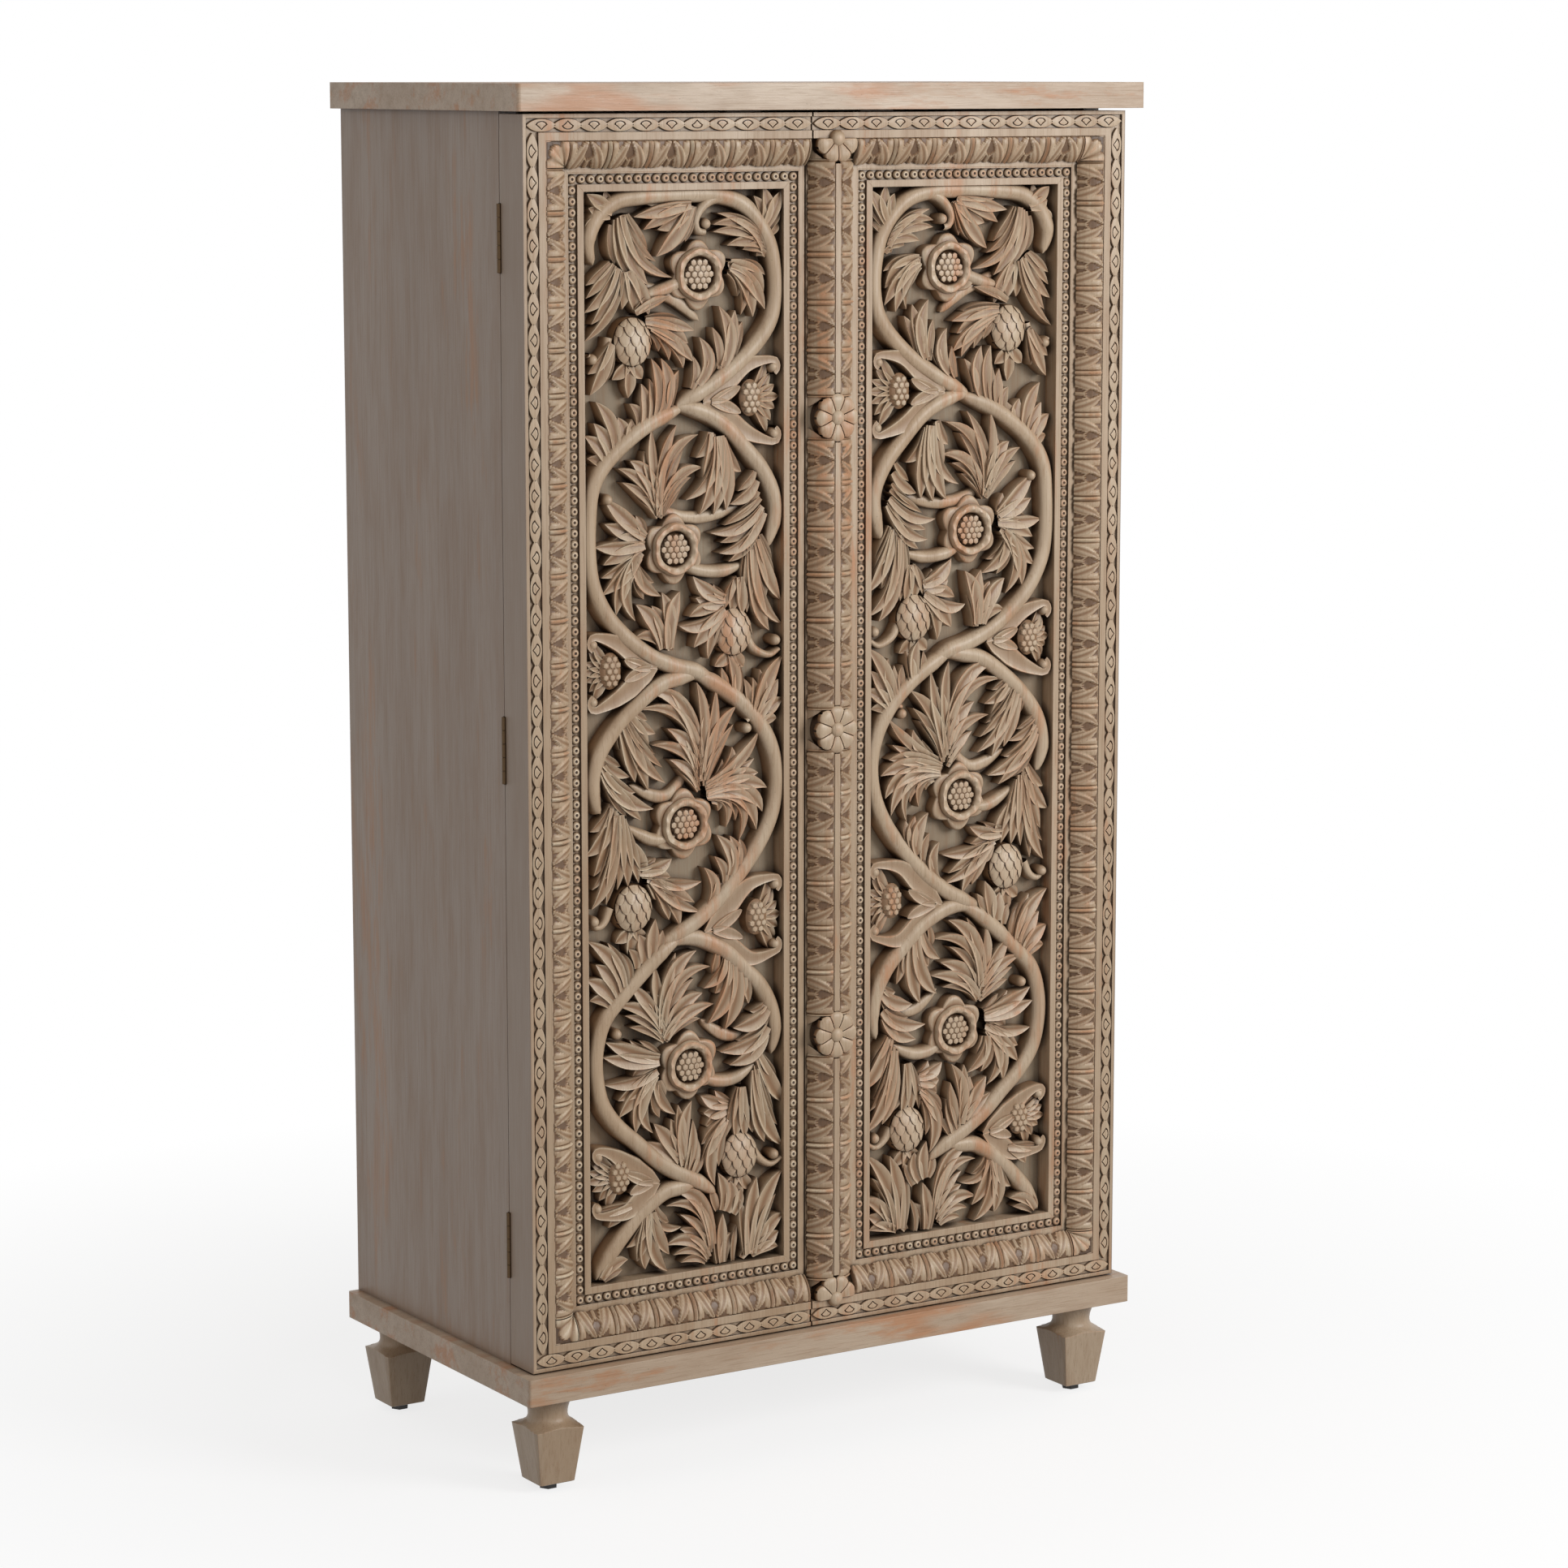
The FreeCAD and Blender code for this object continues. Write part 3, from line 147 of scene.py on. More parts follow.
# Gathering patches into one mesh
class Carving:
    """Patches of surface that become one mesh, with a tone for each point: 1 on a crest
    that gets a painted highlight and that the paint is rubbed from, 0 in a hollow with its glaze,
    and below 0 where painted shade lies."""

    def __init__(self, lay=None):
        """lay puts flat points in their places, where they aren't there already."""
        self.lay = lay
        self.points = []
        self.faces = []
        self.tones = []
        self.count = 0

    def keep(self, grid, tones, closed, backwards):
        """Take in a grid of points, its rows closed into rings if asked."""
        rows, columns = grid.shape[:2]
        index = np.arange(rows * columns).reshape(rows, columns) + self.count
        if closed:
            index = np.hstack([index, index[:, :1]])
        corners = [index[:-1, :-1], index[:-1, 1:], index[1:, 1:], index[1:, :-1]]
        quads = np.stack(corners, axis=-1).reshape(-1, 4)
        self.points.append(grid.reshape(-1, 3))
        self.faces.append(quads[:, ::-1] if backwards else quads)
        self.tones.append(np.broadcast_to(tones, (rows, columns)).reshape(-1))
        self.count += rows * columns

    def add(self, grid, tones, closed=False, flipped=False):
        """A patch turned to look to the front, or flipped to the back."""
        if self.lay:
            grid = self.lay(grid)
        first = grid[:-1, :-1] - grid[1:, 1:]
        second = grid[:-1, 1:] - grid[1:, :-1]
        looks_back = np.cross(first, second)[..., 1].sum() > 0
        self.keep(grid, tones, closed, looks_back != flipped)

    def add_round(self, grid, tones):
        """A closed patch, its rows rings from the bottom up, turned to look out."""
        self.keep(grid, tones, closed=True, backwards=False)

    def add_strip(self, line, widths, heights, section, right_widths=None):
        """A strip along a line. A section entry is (share of the half width, share of the
        height, fall below it, tone). The right half may have widths of its own."""
        section = np.array(section, float)
        if right_widths is None:
            right_widths = widths
        halves = np.where(section[:, 0] > 0, widths[:, None], right_widths[:, None])
        flat = line[:, None, :] + aside(line)[:, None, :] * (halves * section[:, 0])[..., None]
        ease = np.clip(widths / max(widths.max(), 1e-6), 0, 1)[:, None]
        height = heights[:, None] * section[:, 1] - section[:, 2] * ease
        self.add(np.concatenate([flat, height[..., None]], axis=-1), section[:, 3])

    def add_rings(self, centre, sides, profile):
        """Rings round a centre, each (radius, level, tone)."""
        angle = around(sides)
        grid = [ring(centre, angle, radius, level) for radius, level, tone in profile]
        tones = [[tone] for radius, level, tone in profile]
        self.add(np.array(grid), np.array(tones), closed=True)

    def add_dome(self, centre, radius, base, top, rings, sides, power=0.5, stretch=1.0,
                 contrast=1.0, tone=0.0):
        """A round boss with its wall, from its base level to its top."""
        shares = np.linspace(1, 0, rings + 1)
        levels = base + (top - base) * (1 - shares ** 2) ** power
        # Tones rise towards the top: a painted highlight on the crown, less at the foot
        shades = np.append((0.0, 0.15), 0.3 + 0.5 * (1 - shares[1:]))
        grid = [ring(centre, around(sides), radius, 0.0, stretch)]
        for share, level in zip(shares, levels):
            grid.append(ring(centre, around(sides), radius * share, level, stretch))
        self.add(np.array(grid), (shades * contrast + tone)[:, None], closed=True)


def put(name, data):
    """A new object in the scene."""
    thing = bpy.data.objects.new(name, data)
    bpy.context.scene.collection.objects.link(thing)
    return thing


def build(name, carving, body, material, mirrored=False, sharp=40):
    """Make one object of a carving, mirrored for the right door if asked."""
    points = np.vstack(carving.points) * MM
    faces = np.vstack(carving.faces)
    tones = np.concatenate(carving.tones)
    if mirrored:
        points = points * (-1, 1, 1)
        faces = faces[:, ::-1]
    mesh = bpy.data.meshes.new(name)
    mesh.vertices.add(len(points))
    mesh.vertices.foreach_set("co", points.astype(np.float32).ravel())
    mesh.loops.add(faces.size)
    mesh.loops.foreach_set("vertex_index", faces.astype(np.int32).ravel())
    mesh.polygons.add(len(faces))
    mesh.polygons.foreach_set("loop_start", np.arange(0, faces.size, 4, dtype=np.int32))
    mesh.update(calc_edges=True)
    mesh.validate()
    tone = mesh.attributes.new("tone", "FLOAT", "POINT")
    tone.data.foreach_set("value", tones.astype(np.float32))
    mesh.polygons.foreach_set("use_smooth", np.ones(len(mesh.polygons), dtype=bool))
    mesh.set_sharp_from_angle(angle=math.radians(sharp))
    mesh.materials.append(material)
    piece = put(name, mesh)
    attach(piece, body)
    return piece


# Laying flat carving on the doors
def on_plane(depth):
    """Lay (x, z, height) on a plane that many millimetres behind the door's face."""
    def lay(grid):
        return np.stack([grid[..., 0], DOOR_FACE + depth - grid[..., 2], grid[..., 1]], axis=-1)
    return lay


class Arc:
    """The rounded slope of a moulding, from its strip down to its foot."""

    def __init__(self, start, end, radius):
        start, end = np.array(start, float), np.array(end, float)
        chord = end - start
        reach = np.linalg.norm(chord)
        inward = np.array([-chord[1], chord[0]]) / reach
        self.centre = (start + end) / 2 + inward * math.sqrt(radius ** 2 - reach ** 2 / 4)
        self.radius = radius
        self.first = math.atan2(start[0] - self.centre[0], self.centre[1] - start[1])
        last = math.atan2(end[0] - self.centre[0], self.centre[1] - end[1])
        self.length = (last - self.first) * radius

    def place(self, along, height):
        """(distance in, depth) at a distance down the slope and a height above it."""
        angle = self.first + along / self.radius
        reach = self.radius + height
        return self.centre[0] + reach * np.sin(angle), self.centre[1] - reach * np.cos(angle)


def on_slope(arc, origin, run, inwards):
    """Lay (along the run, down the slope, height) on a moulding. origin, run and inwards
    are (x, z): the run's start at its strip's edge, its direction and the way in."""
    def lay(grid):
        reach, depth = arc.place(grid[..., 1], grid[..., 2])
        x = origin[0] + run[0] * grid[..., 0] + inwards[0] * reach
        z = origin[1] + run[1] * grid[..., 0] + inwards[1] * reach
        return np.stack([x, DOOR_FACE + depth, z], axis=-1)
    return lay


# The scroll fret, drawn in hundredths of the opening's width across and as many
# parts of its height up as GRID_UP says
GRID_ACROSS = 100
GRID_UP = 476

STEM_SHARES = [
    [(6, 445), (3.5, 455), (8, 465), (17, 471.5), (28, 473.5), (45, 474), (65, 474), (78, 471),
     (87, 464), (94, 453), (97, 440), (97, 428), (94, 418), (86, 408), (75, 399), (62, 391),
     (46, 383)],
    [(46, 383), (52, 383), (62, 380), (72, 374), (82, 364), (90, 355), (96, 344), (97, 334),
     (93, 320)],
    [(50, 383), (36, 378), (24, 371), (12, 361), (5, 350), (3, 335), (3, 320), (5, 308), (11, 296),
     (20, 286), (32, 277), (45, 271), (56, 268), (66, 263)],
    [(54, 268), (66, 262), (78, 254), (88, 244), (95, 232), (98, 218), (96, 204), (90, 191),
     (80, 178), (68, 166), (56, 157), (44, 151), (38, 149)],
    [(60, 267), (50, 266), (38, 263), (26, 255), (15, 245), (7, 234), (4, 222), (6, 212),
     (8, 209)],
    [(42, 148), (50, 150), (58, 149), (70, 143), (80, 134), (89, 125), (95, 114), (97, 103),
     (95, 93)],
    [(48, 150), (40, 146), (30, 138), (18, 127), (9, 117), (5, 104), (5, 92), (8, 80), (15, 70),
     (25, 61), (35, 52), (46, 45), (57, 39), (66, 33)],
    [(58, 39), (50, 38), (40, 37), (30, 31), (20, 22), (11, 12), (4, 2)],
]
STALK_SHARES = [
    [(60, 439), (50, 437), (38, 433), (26, 430)],
    [(48, 316), (58, 312), (70, 311), (83, 314)],
    [(48, 196), (36, 195), (28, 198), (19, 203)],
    [(56, 88), (66, 84), (76, 84), (88, 90)],
]
BACK_STALK_SHARES = [
    [(36, 342), (48, 336), (62, 335), (82, 339)],
    [(24, 220), (34, 215), (44, 214), (54, 224)],
    [(60, 112), (68, 106), (76, 103), (90, 104)],
    [(30, 437), (42, 432), (50, 428), (60, 420)],
]
CURL_SHARES = [(72, 473.5), (64, 471.5), (58.5, 467), (56.5, 462), (58, 458.5), (61, 458)]
TENDRIL_SHARES = [
    [(14, 414), (12, 407), (7, 404), (3, 407)],
    [(83, 281), (87, 275.5), (94, 272.5), (99, 275)],
    [(13, 167), (10, 161), (6, 159), (3, 162)],
    [(86, 50), (90, 45), (95, 42.5), (100, 45)],
    [(88, 243), (86, 246), (82, 244)],
]
FLOWER_SHARES = [(58, 440), (45.5, 322), (50, 201), (52, 92.5)]
CONE_SHARES = [(25, 412), (75.5, 284), (24, 166), (78, 49)]
BALL_SHARES = [
    (61.5, 461.5), (5, 405), (97, 279), (4, 162), (96, 47), (12, 345), (82, 241), (15, 111),
]
VOLUTE_SHARES = [
    [(95.5, 399), (96, 370)], [(4, 283), (4, 258)], [(96.5, 170), (96.5, 143)],
    [(5, 57), (4.5, 34)],
]
VOLUTE_RADIUS = 8.0
# Leaves as lists of fingers: where each leaves its rib, the way it bends and its tip
LEAF_SHARES = [
    # Top scroll
    [(14, 462, 12, 452, 17, 445), (17, 464, 16, 451, 23, 440), (19, 465, 20, 448, 33, 436),
     (20, 466, 24, 444, 45, 439), (21, 466, 26, 450, 37, 446), (22, 466, 27, 458, 33, 451)],
    [(53, 471, 44, 472, 33, 470), (54, 470, 42, 469, 26, 465), (54, 470, 42, 465, 31, 459.5),
     (54, 469, 46, 462, 38, 459.5), (54, 469, 48, 456, 37, 448), (55, 469, 52, 459, 47, 452),
     (56, 469, 54, 461, 52, 454)],
    [(91, 450, 86, 465, 68, 466), (90, 453, 80, 464, 66, 461), (90, 454, 78, 461, 66, 458),
     (90, 453, 83, 460, 75, 456), (91, 451, 83, 456, 73, 452), (91, 449, 87, 453, 81, 450),
     (92, 447, 90, 450, 88, 447)],
    [(73, 444, 86, 447, 92.5, 439), (74, 444, 86, 443, 91.5, 431.5), (74, 443, 86, 438, 92, 424),
     (74, 443, 84, 435, 86, 421), (74, 442, 84, 436, 80, 422), (73, 441, 80, 438, 78.5, 430)],
    [(14, 446, 9, 442, 2.5, 436.5), (16, 445, 10, 438, 2.5, 431), (17, 444, 11, 432, 1.5, 425),
     (18, 443, 15, 429, 5, 420), (20, 442, 17.5, 423, 1, 412.5)],
    [(20, 442, 19, 433, 20, 426), (22, 442, 25, 434, 26.5, 424), (23, 441, 30, 434, 33, 423),
     (26, 425, 29, 429, 34, 431.5), (26, 424, 33, 428, 43.5, 431)],
    [(31, 422, 40, 424, 50, 420.5), (31, 421, 44, 421, 56, 416), (32, 420, 44, 417, 53, 410.5),
     (34, 418, 48, 411, 55.5, 402.5), (35, 417, 48, 411, 50.5, 400),
     (35, 416, 42, 412, 43.5, 403.5), (34, 415, 37.5, 412, 38.5, 407.5)],
    [(68, 399, 68, 409, 65.5, 417), (70, 400, 77, 413, 68.5, 426), (73, 402, 75, 412, 77, 424),
     (76, 404, 78, 411, 81, 419)],
    [(54, 391, 57, 397, 55.5, 405), (57, 393, 66, 402, 58.5, 413), (62, 396, 67, 401, 66, 408)],
    [(44, 384, 44, 390, 48.5, 399), (39, 381, 45, 393, 39.5, 404.5),
     (36, 379, 40, 394, 34.5, 404.5), (33, 377, 36, 386, 33.5, 396), (30, 375, 34, 385, 29.5, 394),
     (27, 373, 29, 381, 24, 385.5)],
    [(22, 369, 25, 373, 25, 379), (19, 367, 22, 373, 18, 380), (16, 364, 16, 378, 7, 387),
     (14, 362, 13, 371, 6, 378), (12, 360, 9.5, 368, 1.5, 372.5), (11, 357, 8, 362, 3, 363)],
    [(14, 412, 8, 404, 3, 399), (14, 411, 11, 400, 4, 390), (15, 410, 14, 402, 12, 395)],
    [(16, 468, 13, 472, 12, 476.5), (15, 467, 9, 470, 3, 475), (14, 466, 9, 467, 4, 469),
     (9, 463, 5, 464, 2, 457)],
    [(89, 462, 90, 468, 86.5, 473), (90, 461, 94, 468, 91, 477), (92, 460, 96, 467, 100, 475),
     (93, 458, 97, 463, 100, 466), (94, 456, 97, 459, 99, 461)],
    # Second scroll
    [(37, 336, 33, 343, 26, 346), (36, 338, 31, 348, 20, 352), (36, 340, 31, 353, 18, 358),
     (36, 342, 33, 357, 24, 361), (36, 345, 34, 358, 31, 365), (37, 342, 34, 361, 34.5, 374.5)],
    [(38, 336, 42, 345, 49.5, 347.5), (39, 337, 43, 351, 54.5, 352.5),
     (39, 338, 45, 357, 60.5, 356.5), (39, 341, 42, 359, 51, 366), (38, 340, 39, 366, 58, 371),
     (37, 337, 34, 362, 47, 375.5)],
    [(30, 328, 30, 334, 26.5, 337.5), (30, 328, 22, 334, 10, 346), (30, 327, 22, 330, 11, 334.5),
     (30, 326, 23, 328, 14, 326.5), (30, 325, 18, 324, 5.5, 325), (29, 324, 20, 322, 10, 317),
     (28, 322, 22, 316, 9, 311.5), (27, 321, 21, 313, 9, 304), (27, 320, 17, 311, 16, 295),
     (26, 320, 16, 306, 25.5, 292)],
    [(25, 318, 29, 310, 35.5, 308), (25, 318, 26, 308, 38.5, 302), (25, 317, 23, 308, 30, 301)],
    [(63, 372, 62, 366, 57, 361), (65, 371, 65, 358, 60.5, 349), (66, 370, 67, 351, 51.5, 343),
     (67, 370, 69, 350, 58.5, 336.5), (68, 370, 71, 352, 65.5, 336), (69, 369, 73, 352, 72, 337.5),
     (71, 368, 74, 358, 80, 354)],
    [(86, 354, 84, 350, 78, 345.5), (87, 350, 83, 343, 74, 340), (88, 345, 84, 339, 75, 334),
     (89, 342, 82, 336, 71, 331), (89, 339, 80, 328, 64, 328), (90, 337, 82, 325, 69, 323.5),
     (90, 336, 82, 321, 68, 319), (90, 335, 84, 318, 73, 315)],
    [(89, 326, 92, 320, 95.5, 312), (88, 325, 92, 314, 97, 306), (87, 324, 91, 308, 100, 296.5),
     (86, 323, 88, 306, 92.5, 298), (85, 322, 86, 295, 100.5, 286), (84, 321, 84, 295, 94, 283.5),
     (83, 320, 81, 308, 82.5, 292), (81, 319, 79, 310, 80.5, 300)],
    [(77, 308, 71, 303, 70, 293), (77, 308, 75, 300, 75, 292), (78, 308, 79, 300, 80, 291),
     (79, 308, 84, 301, 84.5, 294)],
    [(71, 300, 67, 301, 65.5, 305.5), (71, 299, 62, 300, 55, 309.5), (70, 297, 63, 297, 56.5, 300),
     (70, 296, 60, 295, 53, 292), (70, 295, 58, 286, 47.5, 288.5), (70, 294, 61, 287, 55, 278.5),
     (70, 293, 64, 285, 62.5, 273), (70, 292, 67, 285, 65.5, 278)],
    [(39, 279, 34, 286, 26, 284.5), (39, 279, 36, 293, 26, 299), (40, 279, 40, 291, 34, 298),
     (41, 279, 44, 294, 39, 303.5), (42, 279, 41, 294, 48, 303.5),
     (43, 278, 43, 286, 46.5, 292.5)],
    [(72, 257, 70, 262, 70, 268.5), (75, 255, 77, 264, 73, 273.5), (78, 253, 78, 261, 79.5, 269)],
    [(82, 249, 83, 256, 81, 263), (84, 247, 88, 255, 85.5, 263), (85, 246, 90, 256, 89, 266.5),
     (86, 245, 90, 262, 100.5, 272), (87, 244, 92, 255, 98.5, 261.5),
     (88, 243, 92, 250, 101.5, 253), (89, 241, 93, 245, 98, 244)],
    # Third scroll
    [(57, 215, 53, 222, 47, 225.5), (57, 217, 54, 228, 43, 230), (57, 219, 54, 235, 34, 237),
     (57, 221, 55, 239, 42, 243.5), (58, 223, 57, 236, 50, 241), (58, 223, 54, 256, 27, 253),
     (58, 225, 54, 262, 31, 260.5), (58, 226, 55, 252, 41, 263)],
    [(60, 217, 63, 228, 72.5, 237), (60, 218, 64, 233, 75.5, 243), (59, 220, 64, 242, 77, 251),
     (59, 222, 63, 240, 66.5, 259.5), (59, 225, 60, 244, 64.5, 253),
     (58, 224, 60, 250, 56.5, 263)],
    [(61, 217, 81, 224, 88.5, 239), (62, 217, 75, 224, 75, 233), (61, 216, 68, 221, 70, 228)],
    [(61, 216, 74, 222, 86.5, 227), (61, 215, 77, 222, 88.5, 220.5), (61, 214, 80, 221, 93, 213.5),
     (61, 213, 86, 217, 90.5, 203), (61, 213, 84, 217, 87.5, 195), (62, 212, 86, 212, 78.5, 191),
     (62, 212, 78, 214, 77, 200), (63, 211, 75, 212, 72, 197.5), (64, 210, 70, 211, 68, 205)],
    [(23, 254, 27, 251, 32, 248), (22, 253, 27, 246, 36, 242), (21, 252, 26, 243, 32.5, 237),
     (20, 251, 26, 240, 35.5, 233), (20, 250, 26, 236, 39, 227), (19, 250, 25, 231, 40.5, 220),
     (18, 249, 25, 233, 32, 217.5), (18, 248, 22, 234, 25.5, 221.5), (16, 248, 16, 240, 20, 234)],
    [(8, 236, 12, 232, 18.5, 229), (8, 233, 13, 227, 23, 224), (9, 230, 14, 220, 25.5, 217),
     (9, 227, 15, 213, 34.5, 209), (10, 225, 17, 213, 28.5, 204.5), (10, 222, 14, 212, 21, 207)],
    [(13, 213, 9, 205, 3, 201.5), (14, 211, 10, 196, 0.5, 191), (14, 210, 12, 190, 4.5, 182),
     (15, 209, 13, 185, 3.5, 176), (15, 208, 14, 181, 3, 167.5), (16, 207, 15, 184, 10.5, 169)],
    [(17, 208, 17, 190, 16, 175), (18, 206, 20, 190, 21.5, 176), (19, 205, 24, 190, 27, 177),
     (20, 196, 27, 189, 30.5, 179), (26, 184, 31, 184, 36, 187), (27, 182, 36, 182, 44, 186),
     (28, 180, 36, 179, 43.5, 178)],
    [(31, 179, 44, 174, 59, 174.5), (32, 178, 43, 171, 55.5, 165.5), (33, 178, 42, 168, 58.5, 161),
     (34, 177, 44, 167, 48, 155.5), (34, 176, 41, 168, 42.5, 159), (32, 177, 36, 172, 37.5, 168)],
    [(79, 182, 81, 186, 79, 192), (76, 179, 79, 185, 74, 193.5), (73, 176, 77, 185, 67, 194.5),
     (70, 173, 71, 179, 66, 185)],
    [(61, 162, 68, 172, 60.5, 180.5), (65, 166, 70, 171, 69, 177)],
    [(37, 145, 38, 149, 39.5, 154.5), (33, 143, 33, 150, 35.5, 160), (29, 141, 30, 148, 27, 154),
     (25, 139, 25, 144, 22, 148)],
    [(22, 134, 23, 142, 16, 148), (20, 132, 19, 143, 11, 152), (18, 130, 16, 145, 1, 153.5),
     (16, 128, 13, 138, 5, 143), (14, 125, 10, 133, 0.5, 136.5), (13, 122, 8, 128, 2, 127)],
    # Fourth scroll
    [(39, 105, 31, 112, 22.5, 113), (38, 107, 30, 117, 20, 118.5), (38, 109, 30, 122, 15.5, 123.5),
     (38, 112, 31, 125, 22, 132.5), (38, 114, 35, 124, 30, 128), (38, 114, 36, 128, 35, 139.5)],
    [(40, 105, 46, 114, 58.5, 113), (40, 106, 46, 118, 65, 119), (40, 107, 44, 122, 59.5, 124.5),
     (39, 110, 42, 128, 55, 131.5), (39, 111, 41, 137, 63.5, 136), (38, 112, 38, 139, 56, 144),
     (38, 114, 38, 134, 45.5, 144)],
    [(36, 100, 32, 104, 27, 106.5), (36, 99, 30, 101, 22, 107.5), (36, 98, 24, 100, 9.5, 108),
     (36, 97, 24, 97, 8, 101.5), (35, 95, 28, 95, 23, 90), (35, 93, 24, 88, 9, 89),
     (34, 92, 26, 86, 16, 81), (34, 92, 24, 84, 16, 73.5), (34, 91, 24, 80, 24.5, 65.5),
     (34, 90, 23, 76, 33.5, 64.5)],
    [(36, 88, 36, 83, 39.5, 78.5), (35, 88, 35, 80, 45, 71.5), (34, 88, 30, 78, 37, 71)],
    [(67, 142, 66, 137, 65, 132), (70, 140, 69, 132, 60, 126.5), (72, 139, 72, 130, 66, 123.5),
     (74, 138, 75, 120, 62, 110.5), (76, 136, 79, 120, 71, 107), (78, 134, 80, 127, 78, 118.5),
     (81, 131, 83, 125, 83.5, 117)],
    [(91, 117, 89, 114, 84, 113.5), (92, 114, 87, 107, 75, 107), (92, 110, 89, 102, 77, 101),
     (92, 106, 86, 97, 68, 97), (91, 103, 87, 93, 73, 90.5), (90, 99, 88, 93, 82, 89.5)],
    [(89, 94, 93, 88, 98.5, 81.5), (88, 93, 94, 79, 101.5, 70), (87, 91, 91, 74, 96.5, 65),
     (87, 89, 90, 70, 98.5, 60), (86, 87, 88, 61, 101.5, 50), (86, 85, 85, 66, 91.5, 53),
     (86, 80, 84, 74, 82, 65.5)],
    [(77, 80, 72, 71, 71, 57.5), (78, 80, 76, 68, 76, 56), (79, 80, 79, 67, 81, 56),
     (80, 74, 84, 65, 85.5, 58)],
    [(73, 74, 69, 76, 66, 79.5), (72, 73, 65, 74, 58.5, 78), (72, 71, 66, 70, 60, 70),
     (71, 69, 66, 67, 61, 64), (71, 67, 64, 63, 58.5, 56), (70, 66, 63, 58, 58, 48),
     (70, 65, 59, 51, 65.5, 36.5), (70, 62, 67, 54, 67.5, 45)],
    [(54, 43, 57, 47, 59.5, 52), (52, 44, 54, 52, 56, 60.5), (50, 46, 54, 56, 54, 68),
     (49, 48, 46, 66, 53.5, 76.5), (48, 50, 46, 64, 46.5, 75.5), (48, 52, 46, 62, 43, 69.5),
     (47, 50, 42, 60, 34, 68.5), (47, 48, 42, 54, 31, 60.5), (47, 47, 44, 50, 38, 53)],
    [(29, 30, 27, 20, 19.5, 14.5), (30, 30, 28, 17, 25, 7.5), (30, 29, 26, 12, 29, 3.5),
     (31, 29, 30, 10, 40.5, 1), (32, 29, 33, 16, 41.5, 8.5), (33, 30, 36, 19, 48, 20),
     (34, 31, 36, 25, 41.5, 23)],
    [(60, 2, 54, 7, 48, 3.5), (61, 3, 54, 12, 44, 7.5), (61, 4, 54, 17, 39.5, 12.5),
     (62, 6, 58, 17, 47.5, 19), (62, 8, 58, 23, 47.5, 25.5), (62, 8, 60, 33, 40, 30.5),
     (63, 10, 60, 37, 45, 36), (64, 10, 63, 27, 57, 35.5)],
    [(66, 1, 64, 11, 65.5, 19), (68, 1, 66, 14, 69.5, 23), (70, 1, 70, 9, 74.5, 13.5),
     (74, 1, 73, 10, 77, 17)],
    [(80, 3, 78, 16, 78, 29), (82, 3, 82, 24, 87, 37.5), (84, 3, 86, 28, 100.5, 39.5),
     (85, 4, 88, 20, 97, 28.5), (86, 5, 88, 14, 93, 21), (87, 5, 92, 16, 101.5, 19),
     (87, 4, 92, 9, 99, 11), (84, 2, 91, 6, 98.5, 4), (78, 2, 82, 9, 87, 7.5)],
    [(66, 25, 63, 30, 63.5, 36), (68, 25, 71, 33, 67, 42), (71, 24, 75, 30, 73.5, 37.5),
     (75, 22, 79, 28, 79, 33)],
    [(6, 2, 8, 8, 12, 12), (7, 2, 12, 9, 20.5, 9), (8, 1, 13, 5, 18, 4.5)],
    [(22, 34, 14, 34, 3.5, 32.5), (22, 33, 16, 29, 11, 24.5)],
]
TUFT_SHARES = [
    [(24, 403), (16, 396), (24, 388), (31, 396)],
    [(75, 275), (67, 269), (75, 261), (82, 268)],
    [(24, 157), (16, 151), (23, 143), (31, 150)],
    [(78, 40), (70, 33), (77, 25), (85, 32)],
]
# Husks: the apex in the fork, the berry, the tips of its two sepals and its point
HUSK_SHARES = [
    [(60, 385), (84, 386), (94, 407), (95, 363), (100, 386)],
    [(36, 271), (13, 271), (4, 290), (4, 254), (0, 271)],
    [(60, 152), (87, 156), (94, 181), (96, 132), (101, 156)],
    [(36, 42), (16, 47), (1, 63), (11, 24), (0, 46)],
]

LEAF_HEIGHT = 18.5
# Section tones paint light: lighter along a round stem's crown, a painted highlight (1) on fluted
# and sepal rims
ROUND_ANGLES = np.radians(np.linspace(-90, 90, 11))
ROUND_SECTION = [(-1.0, 0.0, 0.0, 0.0)] + [
    (math.sin(a), 0.62 + 0.38 * math.cos(a), 0.0, 0.25 + 0.35 * math.cos(a)) for a in ROUND_ANGLES
] + [(1.0, 0.0, 0.0, 0.0)]
FLUTED_SECTION = [
    (-1.0, 0.0, 0.0, 0.0), (-1.0, 0.8, 0.0, 0.35), (-0.88, 1.0, 0.0, 1.0),
    (-0.72, 1.0, 0.8, 0.8), (-0.4, 1.0, 2.4, 0.2), (-0.08, 1.0, 2.9, -0.1),
    (0.08, 1.0, 2.7, 0.12), (0.4, 1.0, 1.9, 0.4), (0.74, 1.0, 0.6, 0.65),
    (0.9, 1.0, 0.0, 1.0), (1.0, 0.8, 0.0, 0.35), (1.0, 0.0, 0.0, 0.0),
]
SEPAL_SECTION = [
    (-1.0, 0.0, 0.0, 0.0), (-1.0, 0.86, 0.0, 0.2), (-0.88, 1.0, 0.0, 1.0),
    (-0.6, 1.0, 0.9, 0.35), (-0.2, 1.0, 1.6, 0.25), (0.2, 1.0, 1.6, 0.25),
    (0.6, 1.0, 0.9, 0.35), (0.88, 1.0, 0.0, 1.0), (1.0, 0.86, 0.0, 0.2),
    (1.0, 0.0, 0.0, 0.0),
]


def fret_place(place):
    """(x, z) in millimetres of a place on the fret's grid."""
    return np.array([
        OPENING_OUTER + OPENING_WIDTH * place[0] / GRID_ACROSS,
        OPENING_LOW + OPENING_HEIGHT * place[1] / GRID_UP,
    ])


